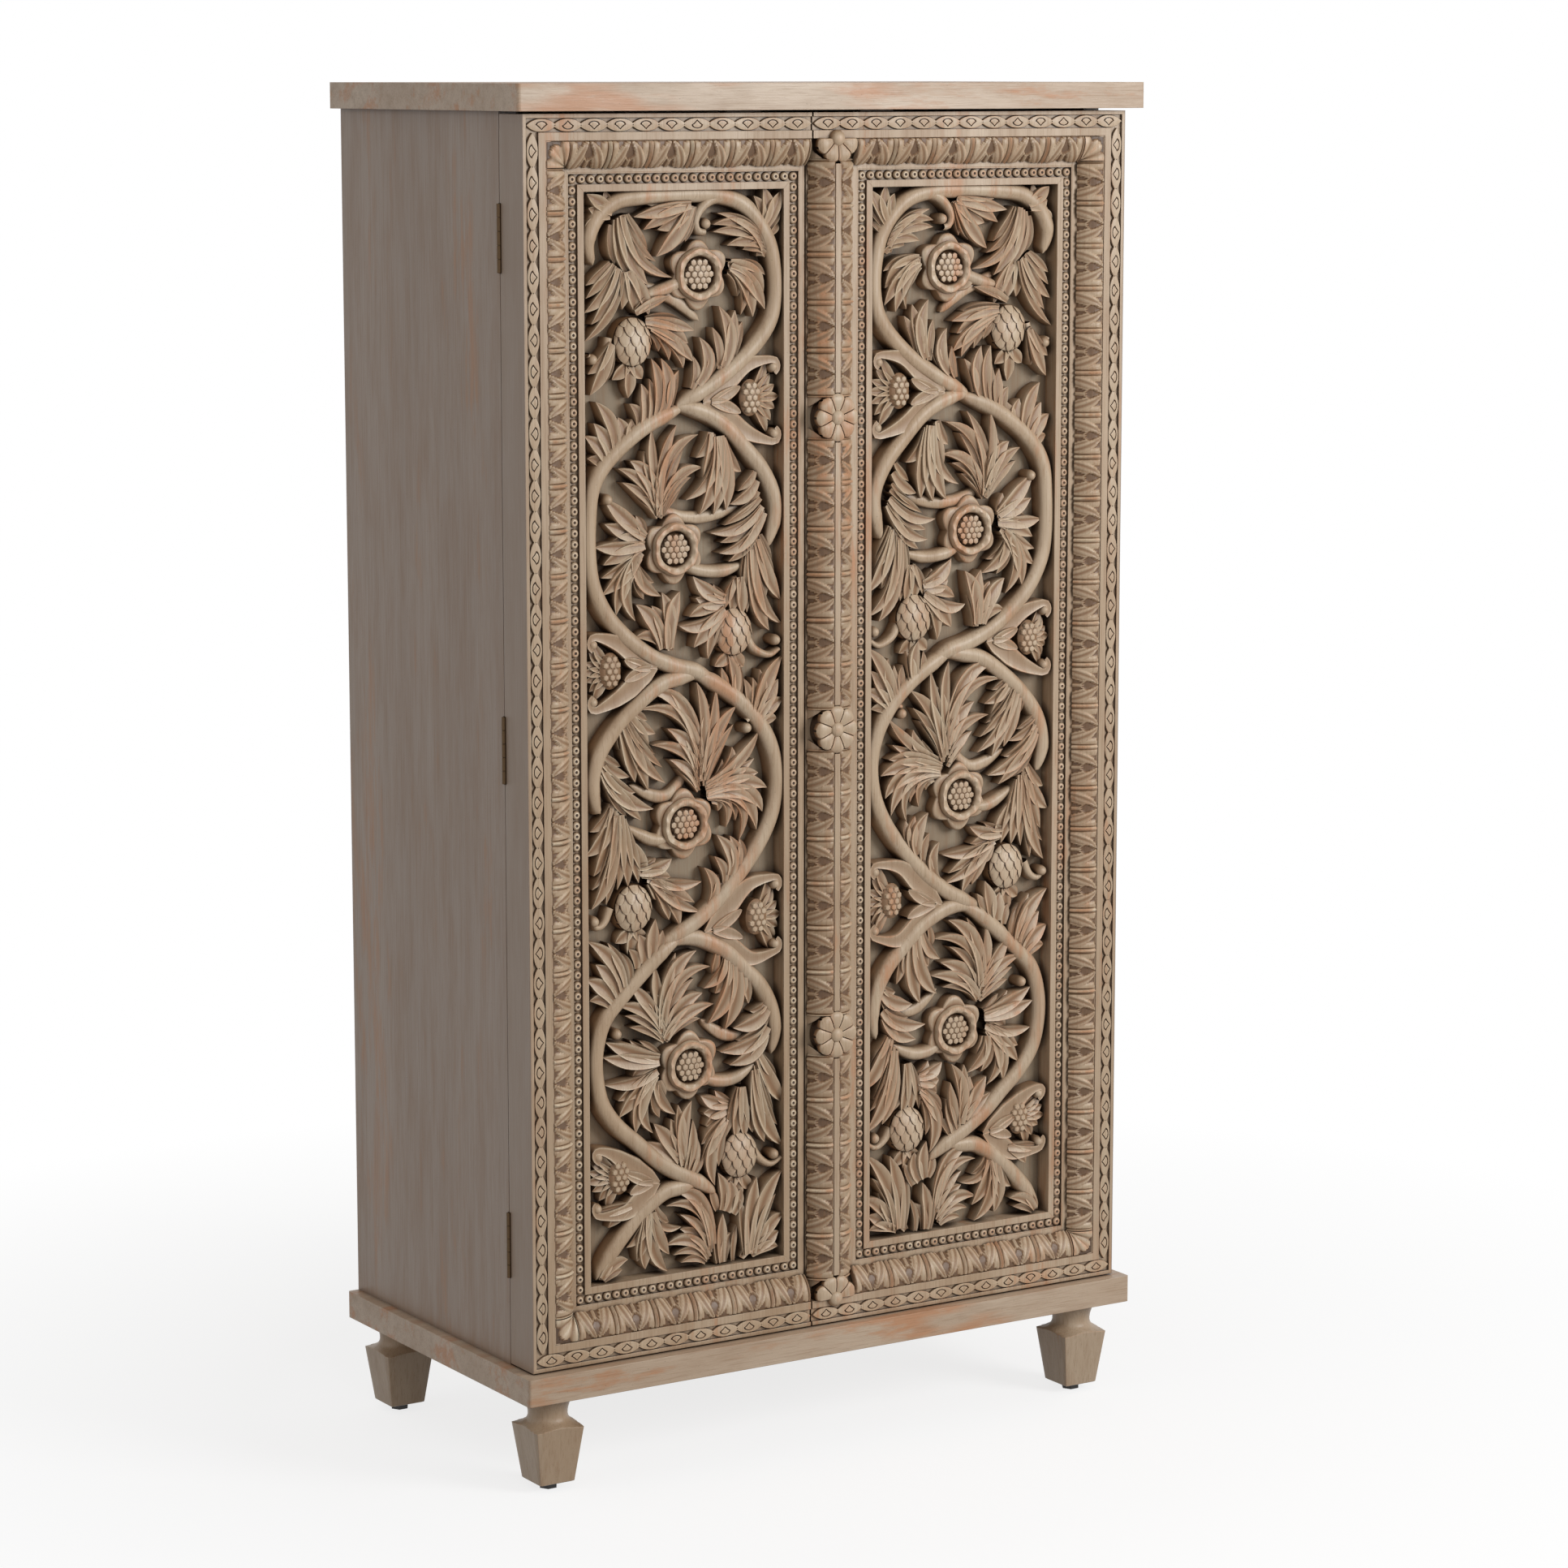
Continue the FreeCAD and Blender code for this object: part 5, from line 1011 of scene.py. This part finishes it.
# The petals' rims get a painted highlight and their feet painted shade
PETAL_SECTION = [
    (-1.0, 0.66, 0.0, -0.5), (-1.0, 0.9, 0.0, 0.1), (-0.86, 0.98, 0.0, 0.9),
    (-0.5, 1.0, -0.475, 0.6), (0.0, 1.0, -0.7, 0.6), (0.5, 1.0, -0.475, 0.6),
    (0.86, 0.98, 0.0, 0.9), (1.0, 0.9, 0.0, 0.1), (1.0, 0.66, 0.0, -0.5),
]
# The disc behind the petals, as rings of (radius, level)
DISC_RINGS = [
    (ROSETTE_RADIUS - 2.5, 2.0), (ROSETTE_RADIUS - 2.5, 16.0), (ROSETTE_RADIUS - 4, 17.5),
    (2.0, 17.5),
]
DISC_STEPS = 40
BUTTON_RADIUS, BUTTON_BASE, BUTTON_TOP = 9.6, 18.5, STEP_DEPTH + 8.8


def rosette(carving, centre, first=0, last=ROSETTE_PETALS):
    """Domed petals round a button; first and last choose which eighths are there."""
    half_turn = 0.5 * (last - first < ROSETTE_PETALS)
    t = np.linspace(0, 1, len(PETAL_WIDTHS))
    arch = PETAL_ARCH * np.sin(t * math.pi * 0.7 + 0.3)
    heights = PETAL_HEIGHT + arch - PETAL_DROOP * t ** 6
    reach = np.linspace(PETAL_START, ROSETTE_RADIUS, len(t))[:, None]
    for index in range(first, last):
        angle = 2 * math.pi * (index + half_turn) / ROSETTE_PETALS
        line = np.array(centre) + np.array([math.sin(angle), math.cos(angle)]) * reach
        carving.add_strip(line, PETAL_WIDTHS, heights, PETAL_SECTION)
    sweep = np.linspace(first, last, DISC_STEPS + 1) + half_turn - 0.5
    sweep = 2 * math.pi * sweep / ROSETTE_PETALS
    # The disc behind the petals carries painted shade
    carving.add(np.array([ring(centre, sweep, *edge) for edge in DISC_RINGS]), -0.5)
    carving.add_dome(centre, BUTTON_RADIUS, BUTTON_BASE, BUTTON_TOP, rings=6, sides=28, tone=0.1)


# Materials
def new_material(name):
    """A material with one shader, its node tree and that shader."""
    material = bpy.data.materials.new(name)
    material.use_nodes = True
    tree = material.node_tree
    tree.nodes.clear()
    output = tree.nodes.new("ShaderNodeOutputMaterial")
    shader = tree.nodes.new("ShaderNodeBsdfPrincipled")
    tree.links.new(shader.outputs[0], output.inputs[0])
    return material, tree, shader


class Nodes:
    """Short calls for the nodes of one tree."""

    def __init__(self, tree):
        self.tree = tree

    def new(self, kind, inputs=None, **settings):
        """A node with its settings, each input joined to a socket or set to a value."""
        node = self.tree.nodes.new(kind)
        for key, setting in settings.items():
            setattr(node, key, setting)
        for key, source in (inputs or {}).items():
            if isinstance(source, bpy.types.NodeSocket):
                self.tree.links.new(source, node.inputs[key])
            else:
                node.inputs[key].default_value = source
        return node

    def place(self):
        """The point on the object, in its own frame."""
        return self.new("ShaderNodeTexCoord").outputs["Object"]

    def noise(self, where, scale, detail=4.0, roughness=0.55):
        """Noise from 0 to 1."""
        inputs = {"Vector": where, "Scale": scale, "Detail": detail, "Roughness": roughness}
        return self.new("ShaderNodeTexNoise", inputs).outputs["Fac"]

    def stretch(self, where, scale):
        """A place scaled along its axes."""
        return self.new("ShaderNodeMapping", {"Vector": where, "Scale": scale}).outputs[0]

    def ramp(self, source, low, high):
        """0 below low, 1 above high."""
        inputs = {"Value": source, "From Min": low, "From Max": high}
        return self.new("ShaderNodeMapRange", inputs, clamp=True).outputs[0]

    def maths(self, operation, first, second=0.0):
        """One sum of two values."""
        return self.new("ShaderNodeMath", {0: first, 1: second}, operation=operation).outputs[0]

    def times(self, first, second):
        """The product of two values."""
        return self.maths("MULTIPLY", first, second)

    def mix(self, share, first, second, most=None):
        """The first colour, turned to the second by a share, or by most of it."""
        if most is not None:
            share = self.times(share, most)
        inputs = {0: share, 6: first, 7: second}
        return self.new("ShaderNodeMix", inputs, data_type="RGBA").outputs[2]

    def bump(self, height, strength, distance, normal=None):
        """A normal tilted by a height."""
        inputs = {"Height": height, "Strength": strength, "Distance": distance}
        if normal:
            inputs["Normal"] = normal
        return self.new("ShaderNodeBump", inputs).outputs[0]


def srgb(red, green, blue):
    """A colour as written on screen, 0 to 255, in linear light."""
    linear = []
    for part in (red, green, blue):
        part /= 255
        linear.append(part / 12.92 if part <= 0.04045 else ((part + 0.055) / 1.055) ** 2.4)
    return (*linear, 1.0)


RUB = srgb(204, 142, 98)
# The dark glaze colour, which also paints shade in recesses, grooves and under rims
GLAZE_AND_SHADE = srgb(50, 33, 22)
HOLLOW = srgb(142, 104, 70)
# The pale colour of painted highlights and pale worn paint on crests and edges
CREAM = srgb(238, 220, 192)
CASE = srgb(158, 136, 118)
# How far out from the middle the doors' sides begin, in metres
SIDE_FACE = -DOOR_OUTER * MM - 0.0005


def paint(name, base, pale, rub=RUB, carved=False, streaks=(1.0, 1.0, 0.15), rub_from=0.54,
          rub_share=0.7, gloss=0.26, flank=None, breadth=9.0):
    """Antiqued paint: brushed colour, rubbed through to warm wood, dark glaze in the
    hollows with painted shade in the recesses, painted highlights with pale wear on crests and
    edges, and another colour on the doors' sides if flank gives one."""
    material, tree, shader = new_material(name)
    nodes = Nodes(tree)
    where = nodes.place()
    brushed = nodes.stretch(where, streaks)
    combed = nodes.stretch(where, tuple(4 * share ** 2 for share in streaks))
    broad = nodes.noise(brushed, scale=breadth, detail=5.0)
    fine = nodes.noise(brushed, scale=60.0, detail=6.0, roughness=0.65)
    speckle = nodes.noise(where, scale=420.0, detail=3.0, roughness=0.7)
    hairs = nodes.noise(combed, scale=130.0, detail=3.0, roughness=0.6)
    patches = nodes.noise(brushed, scale=breadth * 2.3, detail=3.0, roughness=0.5)
    # Brushed colour with a darker wash
    colour = nodes.mix(nodes.ramp(broad, 0.36, 0.64), base, pale)
    washed = nodes.mix(0.6, colour, HOLLOW)
    colour = nodes.mix(nodes.ramp(fine, 0.42, 0.72), colour, washed, most=0.6)
    # Painted highlight in cream, with pale worn paint, on the edges, which the carving's tone
    # gives or a bevel finds
    bevel = nodes.new("ShaderNodeBevel", {"Radius": 0.0012}, samples=4).outputs[0]
    if carved:
        tone = nodes.new("ShaderNodeAttribute", attribute_name="tone").outputs["Fac"]
        edge = nodes.ramp(tone, 0.62, 1.0)
        colour = nodes.mix(nodes.ramp(tone, 0.55, 0.05), colour, HOLLOW, most=0.9)
        colour = nodes.mix(edge, colour, CREAM, most=0.8)
        # Painted shade where the carving's tone is below 0: under rims, in grooves and on the
        # ground
        colour = nodes.mix(nodes.ramp(tone, -0.1, -0.5), colour, GLAZE_AND_SHADE)
    else:
        flat = nodes.new("ShaderNodeNewGeometry").outputs["Normal"]
        agree = nodes.new("ShaderNodeVectorMath", {0: bevel, 1: flat}, operation="DOT_PRODUCT")
        edge = nodes.ramp(agree.outputs["Value"], 0.985, 0.86)
        colour = nodes.mix(edge, colour, CREAM, most=0.5)
    # Rubbed through in spots and on the edges
    worn = nodes.maths("ADD", nodes.times(fine, 0.5), nodes.times(broad, 0.5))
    spots = nodes.times(nodes.ramp(worn, rub_from, rub_from + 0.08),
                        nodes.ramp(patches, 0.46, 0.56))
    if carved:
        spots = nodes.times(spots, nodes.ramp(tone, 0.3, 0.6))
    edge_wear = nodes.times(edge, nodes.ramp(worn, 0.43, 0.54))
    wear = nodes.maths("MAXIMUM", spots, edge_wear)
    colour = nodes.mix(wear, colour, rub, most=rub_share)
    # Painted shade in the recesses, found by ambient occlusion, with glaze; glaze also as dots and
    # as fine dark strokes
    hollow = nodes.new("ShaderNodeAmbientOcclusion", {"Distance": 0.014}, samples=8).outputs["AO"]
    recess_shade_and_glaze = nodes.times(nodes.ramp(hollow, 0.76, 0.24), nodes.ramp(fine, -0.1, 0.4))
    colour = nodes.mix(recess_shade_and_glaze, colour, GLAZE_AND_SHADE, most=0.96)
    colour = nodes.mix(nodes.ramp(speckle, 0.66, 0.72), colour, GLAZE_AND_SHADE, most=0.45)
    colour = nodes.mix(nodes.ramp(hairs, 0.52, 0.7), colour, HOLLOW, most=0.35)
    if flank:
        across = nodes.new("ShaderNodeSeparateXYZ", {0: where}).outputs["X"]
        beyond = nodes.ramp(nodes.maths("ABSOLUTE", across), SIDE_FACE - 0.001, SIDE_FACE)
        colour = nodes.mix(beyond, colour, flank, most=0.9)
    tree.links.new(colour, shader.inputs["Base Color"])
    rough = nodes.maths("ADD", nodes.times(fine, 0.3), gloss)
    tree.links.new(rough, shader.inputs["Roughness"])
    relief = nodes.maths("ADD", nodes.times(hairs, 0.5), fine)
    normal = nodes.bump(relief, 0.4, 0.0014, None if carved else bevel)
    tree.links.new(normal, shader.inputs["Normal"])
    return material


def plain(name, colour, roughness, metallic=0.0):
    """A small part's material, with fine unevenness."""
    material, tree, shader = new_material(name)
    nodes = Nodes(tree)
    uneven = nodes.noise(nodes.place(), scale=300.0)
    darker = (*(part * 0.7 for part in colour[:3]), 1.0)
    rough = nodes.maths("ADD", nodes.times(uneven, 0.2), roughness - 0.1)
    tree.links.new(nodes.mix(uneven, darker, colour), shader.inputs["Base Color"])
    tree.links.new(rough, shader.inputs["Roughness"])
    tree.links.new(nodes.bump(uneven, 0.2, 0.0003), shader.inputs["Normal"])
    shader.inputs["Metallic"].default_value = metallic
    return material


carved_paint = paint("carved_paint", srgb(200, 173, 142), srgb(212, 190, 162), carved=True,
                     rub_from=0.51)
astragal_paint = paint("astragal_paint", srgb(182, 154, 124), srgb(196, 173, 144), carved=True,
                       rub_from=0.5)
door_paint = paint("door_paint", srgb(190, 163, 133), srgb(206, 183, 156), rub_from=0.53,
                   flank=CASE)
case_paint = paint("case_paint", CASE, srgb(170, 149, 132), rub=srgb(186, 136, 98),
                   streaks=(1.0, 1.0, 0.14), rub_from=0.53, rub_share=0.6, breadth=8.0)
board_paint = paint("board_paint", srgb(196, 170, 144), srgb(212, 190, 166),
                    streaks=(0.2, 1.0, 1.0), rub_from=0.49, breadth=10.0)
foot_paint = paint("foot_paint", srgb(184, 158, 130), srgb(198, 176, 150), rub_from=0.56)
panel_paint = paint("panel_paint", srgb(150, 134, 112), srgb(162, 147, 125),
                    rub=srgb(140, 112, 84), rub_from=0.75, gloss=0.5)
inner_wood = paint("inner_wood", srgb(172, 146, 116), srgb(186, 162, 132),
                   rub=srgb(150, 118, 86), streaks=(0.1, 1.0, 1.0), rub_from=0.58)
hinge_brass = plain("hinge_brass", srgb(92, 72, 50), 0.45, metallic=0.8)
catch_plastic = plain("catch_plastic", srgb(96, 72, 54), 0.5)
strike_steel = plain("strike_steel", srgb(170, 168, 162), 0.35, metallic=1.0)
glide_plastic = plain("glide_plastic", srgb(38, 35, 33), 0.5)

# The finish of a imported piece: that of the first of these words in its name
FINISHES = [
    ("hinge_frame", hinge_brass), ("hinge_door", hinge_brass), ("hinge_pins", hinge_brass),
    ("catch", catch_plastic), ("strike", strike_steel), ("foot_glides", glide_plastic),
    ("shelf", inner_wood), ("cleat", inner_wood), ("back_panel", inner_wood),
    ("side_panel", case_paint), ("top_board", board_paint), ("base_board", board_paint),
    ("_foot", foot_paint), ("backing", panel_paint), ("", door_paint),
]

for name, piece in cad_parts.items():
    piece.data.materials.clear()
    piece.data.materials.append(next(finish for word, finish in FINISHES if word in name))


# Dress the doors
def dress_door(side):
    """The carving on one door, drawn for the left one."""
    mirrored = side == "right"
    body = f"{side}_door"

    def dress(part, carving):
        """One piece of the door's carving."""
        return build(f"{side}_{part}", carving, body, carved_paint, mirrored)

    carved = dress("fret_carving", fret())
    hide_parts(f"{side}_fret")
    dress("beads", beads())

    seam = -RIGHT_SEAM if mirrored else LEFT_SEAM
    middle = EDGE_STRIP + CHANNEL_WIDTH / 2
    links = Carving(on_plane(CHANNEL_DEPTH))
    for z, inwards in ((DOOR_LOW + middle, (0, 1)), (DOOR_HIGH - middle, (0, -1))):
        chain(links, (DOOR_OUTER + EDGE_STRIP, z), (seam, z), inwards)
    x, low, high = DOOR_OUTER + middle, DOOR_LOW + CHANNEL_END, DOOR_HIGH - CHANNEL_END
    chain(links, (x, low), (x, high), (1, 0))
    dress("chain", links)

    leaves = Carving()
    slope = Arc((0, QUIRK), (LEAF_BAND, STEP_DEPTH), LEAF_RADIUS)
    start = DOOR_OUTER + FLAT_END
    end = -ASTRAGAL_HALF if mirrored else seam
    mitres = [(DOOR_LOW + FLAT_END, 1), (DOOR_HIGH - FLAT_END, -1)]
    for z, way in mitres:
        leaf_run(leaves, slope, (DOOR_OUTER + LEAF_END, z), (end, z), (0, way))
    leaf_run(leaves, slope, (start, DOOR_LOW + LEAF_END), (start, DOOR_HIGH - LEAF_END), (1, 0))
    for z, way in mitres:
        corner_leaf(leaves, slope, (start, z), (1, 0), (0, way))
        corner_leaf(leaves, slope, (start, z), (0, way), (1, 0))
    dress("leaf_bands", leaves)


for side in ("left", "right"):
    dress_door(side)

levels = [DOOR_LOW + FLAT_END]
levels += [BODY_LOW + level for level in ROSETTE_LEVELS]
levels += [DOOR_HIGH - FLAT_END]
astragal_leaves = Carving()
slope = Arc((ASTRAGAL_STRIP / 2, QUIRK - ASTRAGAL_RISE), (ASTRAGAL_HALF, STEP_DEPTH), LEAF_RADIUS)
for below, above in zip(levels, levels[1:]):
    low, high = below + ROSETTE_CLEARANCE, above - ROSETTE_CLEARANCE
    for way in (-1, 1):
        leaf_run(astragal_leaves, slope, (0, low), (0, high), (way, 0))
build("astragal_leaves", astragal_leaves, "right_door", astragal_paint)

rosettes = Carving(on_plane(STEP_DEPTH))
rosette(rosettes, (0, levels[0]), -2, 2)
for level in levels[1:-1]:
    rosette(rosettes, (0, level))
rosette(rosettes, (0, levels[-1]), 2, 6)
carved = build("rosette_carving", rosettes, "right_door", carved_paint)
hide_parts("astragal_rosettes")


def upright(carving, rings, tones=0.5):
    """A solid stack of rings from the bottom up, closed at both ends."""
    first, last = [end.mean(axis=0) + 0 * end for end in (rings[0], rings[-1])]
    carving.add_round(np.array([first, *rings, last]), tones)


# Feet: a square tapered block under a turned shoulder and neck. Each ring of the
# turning is (level, radius)
FOOT_TURNING = [
    (74.0, 46.0), (75.0, 37.5), (76.0, 33.2), (77.2, 30.8), (79.0, 27.6), (81.0, 25.4),
    (83.5, 23.7), (87.0, 22.8), (91.0, 22.9), (95.0, 23.6), (100.0, 25.1), (105.0, 27.0),
    (110.0, 28.6), (113.2, 29.0),
]
FOOT_BLOCK = [9.0, 9.6, 11.0, 24.0, 40.0, 56.0, 66.0, 71.0, 73.2]
FOOT_UNTURNED = 60.0
FOOT_HALF, FOOT_TAPER, FOOT_BOTTOM_EDGE = 22.5, 0.1324, 0.8
FOOT_SIDES, FOOT_SOFTNESS = 72, 26.0
FOOT_NECK = (79, 88)
FOOT_TONE, FOOT_DARK_TONE = 0.55, 0.2


def foot(name):
    """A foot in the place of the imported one."""
    low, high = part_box(name)
    middle = (low + high) / (2 * MM)
    angle = around(FOOT_SIDES)
    cosine, sine = np.abs(np.cos(angle)), np.abs(np.sin(angle))
    square = 1 / (cosine ** FOOT_SOFTNESS + sine ** FOOT_SOFTNESS) ** (1 / FOOT_SOFTNESS)
    rings, tones = [], []
    for level, turned in [(level, FOOT_UNTURNED) for level in FOOT_BLOCK] + FOOT_TURNING:
        half = FOOT_HALF + FOOT_TAPER * (level - FOOT_BLOCK[0])
        half -= FOOT_BOTTOM_EDGE * (level == FOOT_BLOCK[0])
        rings.append(ring(middle, angle, np.minimum(half * square, turned), level, stretch=-1))
        tones.append(FOOT_DARK_TONE if FOOT_NECK[0] < level < FOOT_NECK[1] else FOOT_TONE)
    tones = np.array([FOOT_DARK_TONE, *tones, FOOT_DARK_TONE])
    carving = Carving()
    upright(carving, rings, tones[:, None])
    piece = build(f"{name}_turning", carving, "root", foot_paint, sharp=35)
    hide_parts(name)


for name in ("front_left_foot", "front_right_foot", "back_left_foot", "back_right_foot"):
    foot(name)


# Hinges: leaves with rounded corners and slotted screws, round knuckles, and a pin
HINGE_LENGTH, HINGE_WIDTH, HINGE_ROUNDING = 76.0, 20.8, 2.5
HINGE_SIDES, CHAMFER = 24, 0.3
KNUCKLES, KNUCKLE_RADIUS, KNUCKLE_GAP, KNUCKLE_ROUNDING = 5, 2.75, 0.3, 0.1
PIN_RADIUS, PIN_CLEARANCE, PIN_SETBACK = 1.5, 0.15, 0.1
LEAF_START = 3.4
STRAP_REACH = (KNUCKLE_RADIUS - 0.5, LEAF_START + 0.2)
LEAF_FACES = {"frame": (0.2, 2.2), "door": (-2.2, -0.2)}
# A rounded corner's steps: shares of its radius in from the tip and up
ROUNDED = [(1.0, 0.0), (0.3, 0.3), (0.0, 1.0)]
SCREW_RADIUS, SCREW_SPREAD, SCREW_STEPS, SLOT_HALF = 3.1, 1.35, 9, 0.45
SCREW_PLACES = [(-26.0, 13.5), (0.0, 9.5), (26.0, 13.5)]


def turned_rings(centre, radius, low, high):
    """Rings of a round rod with chamfered ends."""
    inner = radius - CHAMFER
    outline = [(inner, low), (radius, low + CHAMFER), (radius, high - CHAMFER), (inner, high)]
    angle = around(HINGE_SIDES)
    return [ring(centre, angle, reach, level, stretch=-1) for reach, level in outline]


def tube(carving, centre, radius, bore, low, high):
    """A round rod with a bore through it."""
    angle = around(HINGE_SIDES)
    bottom, top = [ring(centre, angle, bore, level, stretch=-1) for level in (low, high)]
    wall = turned_rings(centre, radius, low, high)
    carving.add_round(np.array([bottom, *wall, top, bottom]), 0.5)


def plate(carving, axis, start, end, faces, low, high, rounding):
    """A flat plate out from the axis, its far corners rounded."""
    near, far = faces
    steps = [(inset, low + rise * rounding) for inset, rise in ROUNDED]
    steps += [(inset, low + high - level) for inset, level in reversed(steps)]
    rings = []
    for inset, level in steps:
        tip = end - inset * rounding
        flat = axis + np.array([(start, near), (tip, near), (tip, far), (start, far)])
        rings.append(np.column_stack([flat, np.full(len(flat), level)]))
    upright(carving, rings)


def screw(carving, centre, face, outwards):
    """A flat slotted head, as two halves beside the slot."""
    spread = np.linspace(-SCREW_SPREAD, SCREW_SPREAD, SCREW_STEPS)
    arc = np.stack([np.sin(spread), np.cos(spread)], axis=-1) * SCREW_RADIUS
    edge = np.stack([arc[:, 0], np.full(SCREW_STEPS, SLOT_HALF)], axis=-1)
    profile = [
        (edge, 0.0), (edge, 0.12), (edge * 0.5 + arc * 0.5, 0.16), (arc * 0.94, 0.12), (arc, 0.0),
    ]
    turn = dice.uniform(0, math.pi)
    for angle in (turn, turn + math.pi):
        grid = []
        for flat, rise in profile:
            x = flat[:, 0] * math.cos(angle) - flat[:, 1] * math.sin(angle)
            z = flat[:, 0] * math.sin(angle) + flat[:, 1] * math.cos(angle)
            y = np.full(SCREW_STEPS, face + outwards * rise)
            grid.append(np.stack([centre[0] + x, y, centre[1] + z], axis=-1))
        carving.add(np.array(grid), 0.5, flipped=outwards > 0)


def hinges(side):
    """The three hinges of one door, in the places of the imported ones."""
    low, high = [np.array(part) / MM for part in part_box("left_hinge_pins")]
    axis = ((low + high) / 2)[:2]
    mirrored = side == "right"
    parts = {"frame": Carving(), "door": Carving()}
    pins = Carving()
    for bottom in (low[Z], (low[Z] + high[Z] - HINGE_LENGTH) / 2, high[Z] - HINGE_LENGTH):
        top = bottom + HINGE_LENGTH
        upright(pins, turned_rings(axis, PIN_RADIUS, bottom + PIN_SETBACK, top - PIN_SETBACK))
        for index in range(KNUCKLES):
            leaf_name = "door" if index % 2 else "frame"
            own, faces = parts[leaf_name], LEAF_FACES[leaf_name]
            start = bottom + HINGE_LENGTH * index / KNUCKLES + KNUCKLE_GAP / 2
            end = bottom + HINGE_LENGTH * (index + 1) / KNUCKLES - KNUCKLE_GAP / 2
            tube(own, axis, KNUCKLE_RADIUS, PIN_RADIUS + PIN_CLEARANCE, start, end)
            plate(own, axis, *STRAP_REACH, faces, start, end, KNUCKLE_ROUNDING)
        for leaf_name, face_index, outwards in (("frame", 0, -1), ("door", 1, 1)):
            own, faces = parts[leaf_name], LEAF_FACES[leaf_name]
            plate(own, axis, LEAF_START, HINGE_WIDTH, faces, bottom, top, HINGE_ROUNDING)
            for up, out in SCREW_PLACES:
                place = (axis[X] + out, bottom + HINGE_LENGTH / 2 + up)
                screw(own, place, axis[Y] + faces[face_index], outwards)
    for leaf_name, body in (("frame", "root"), ("door", f"{side}_door")):
        piece = build(f"{side}_hinge_{leaf_name}_plates", parts[leaf_name], body, hinge_brass,
                      mirrored)
        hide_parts(f"{side}_hinge_{leaf_name}_leaves")
    piece = build(f"{side}_hinge_rods", pins, "root", hinge_brass, mirrored)
    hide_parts(f"{side}_hinge_pins")


for side in ("left", "right"):
    hinges(side)


def aim(thing, place, way):
    """Put a camera or lamp in its place, looking that way."""
    thing.location = place
    thing.rotation_euler = way.to_track_quat("-Z", "Y").to_euler()


# Camera, as in the photograph
CAMERA_PLACE = (-2.8026, -4.5148, 1.6015)
CAMERA_YAW = 0.5653
CAMERA_PITCH = -0.1572
LENS = 103.49

camera_data = bpy.data.cameras.new("camera")
camera_data.lens = LENS
camera_data.sensor_width = 36.0
camera = put("camera", camera_data)
aim(camera, CAMERA_PLACE, Vector((
    math.sin(CAMERA_YAW) * math.cos(CAMERA_PITCH),
    math.cos(CAMERA_YAW) * math.cos(CAMERA_PITCH),
    math.sin(CAMERA_PITCH),
)))
bpy.context.scene.camera = camera


# Floor, world and lamps
def lamp(name, place, target, size, power):
    """A rectangular lamp that looks at its target."""
    data = bpy.data.lights.new(name, "AREA")
    data.shape = "RECTANGLE"
    data.size, data.size_y = size
    data.energy = power
    aim(put(name, data), place, Vector(target) - Vector(place))


def rays_that_see_white(nodes):
    """1 for the camera's rays and for those in reflections and through glass."""
    path = nodes.new("ShaderNodeLightPath")
    seen = nodes.maths("MAXIMUM", path.outputs["Is Camera Ray"], path.outputs["Is Glossy Ray"])
    return nodes.maths("MAXIMUM", seen, path.outputs["Is Transmission Ray"])


WHITE = (1.0, 1.0, 1.0, 1.0)
SURROUND = (0.3, 0.295, 0.29, 1.0)
world = bpy.data.worlds.new("world")
bpy.context.scene.world = world
world.use_nodes = True
world.node_tree.nodes.clear()
sky = Nodes(world.node_tree)
colour = sky.mix(rays_that_see_white(sky), SURROUND, WHITE)
background = sky.new("ShaderNodeBackground", {"Color": colour, "Strength": 1.0})
sky.new("ShaderNodeOutputWorld", {"Surface": background.outputs[0]})

# The floor is white to the camera, with the cabinet's soft shadow near its feet
FLOOR_REACH = 14.0
FLOOR_GREY = (0.3, 0.3, 0.3, 1.0)
FLOOR_GLOW = 0.78
SHADOW_NEAR, SHADOW_FAR = 0.6, 1.6
floor_mesh = bpy.data.meshes.new("floor")
corners = [(-1, -1), (1, -1), (1, 1), (-1, 1)]
floor_mesh.from_pydata([(x * FLOOR_REACH, y * FLOOR_REACH, 0) for x, y in corners], [],
                       [(0, 1, 2, 3)])
floor = put("floor", floor_mesh)
floor_material, floor_tree, floor_shader = new_material("floor")
nodes = Nodes(floor_tree)
away = nodes.new("ShaderNodeVectorMath", {0: nodes.place()}, operation="LENGTH")
far = nodes.ramp(away.outputs["Value"], SHADOW_NEAR, SHADOW_FAR)
seen = rays_that_see_white(nodes)
for key, setting in (("Base Color", FLOOR_GREY), ("Roughness", 1.0),
                     ("Specular IOR Level", 0.0), ("Emission Color", WHITE)):
    floor_shader.inputs[key].default_value = setting
floor_tree.links.new(nodes.times(seen, FLOOR_GLOW), floor_shader.inputs["Emission Strength"])
plain_white = nodes.new("ShaderNodeEmission", {"Color": WHITE, "Strength": 1.0})
blend = nodes.new("ShaderNodeMixShader", {
    0: nodes.times(far, seen), 1: floor_shader.outputs[0], 2: plain_white.outputs[0],
})
output = floor_tree.nodes["Material Output"]
floor_tree.links.new(blend.outputs[0], output.inputs[0])
floor_mesh.materials.append(floor_material)

lamp("key", (1.9, -3.3, 2.0), (0, 0, 0.8), (1.5, 1.5), 74)
lamp("front", (-1.4, -3.8, 2.0), (0, 0, 0.9), (1.4, 1.4), 14)
lamp("side", (-4.0, 0.2, 1.6), (0, 0, 0.8), (1.6, 2.0), 9)

bpy.context.scene.view_settings.view_transform = "Standard"
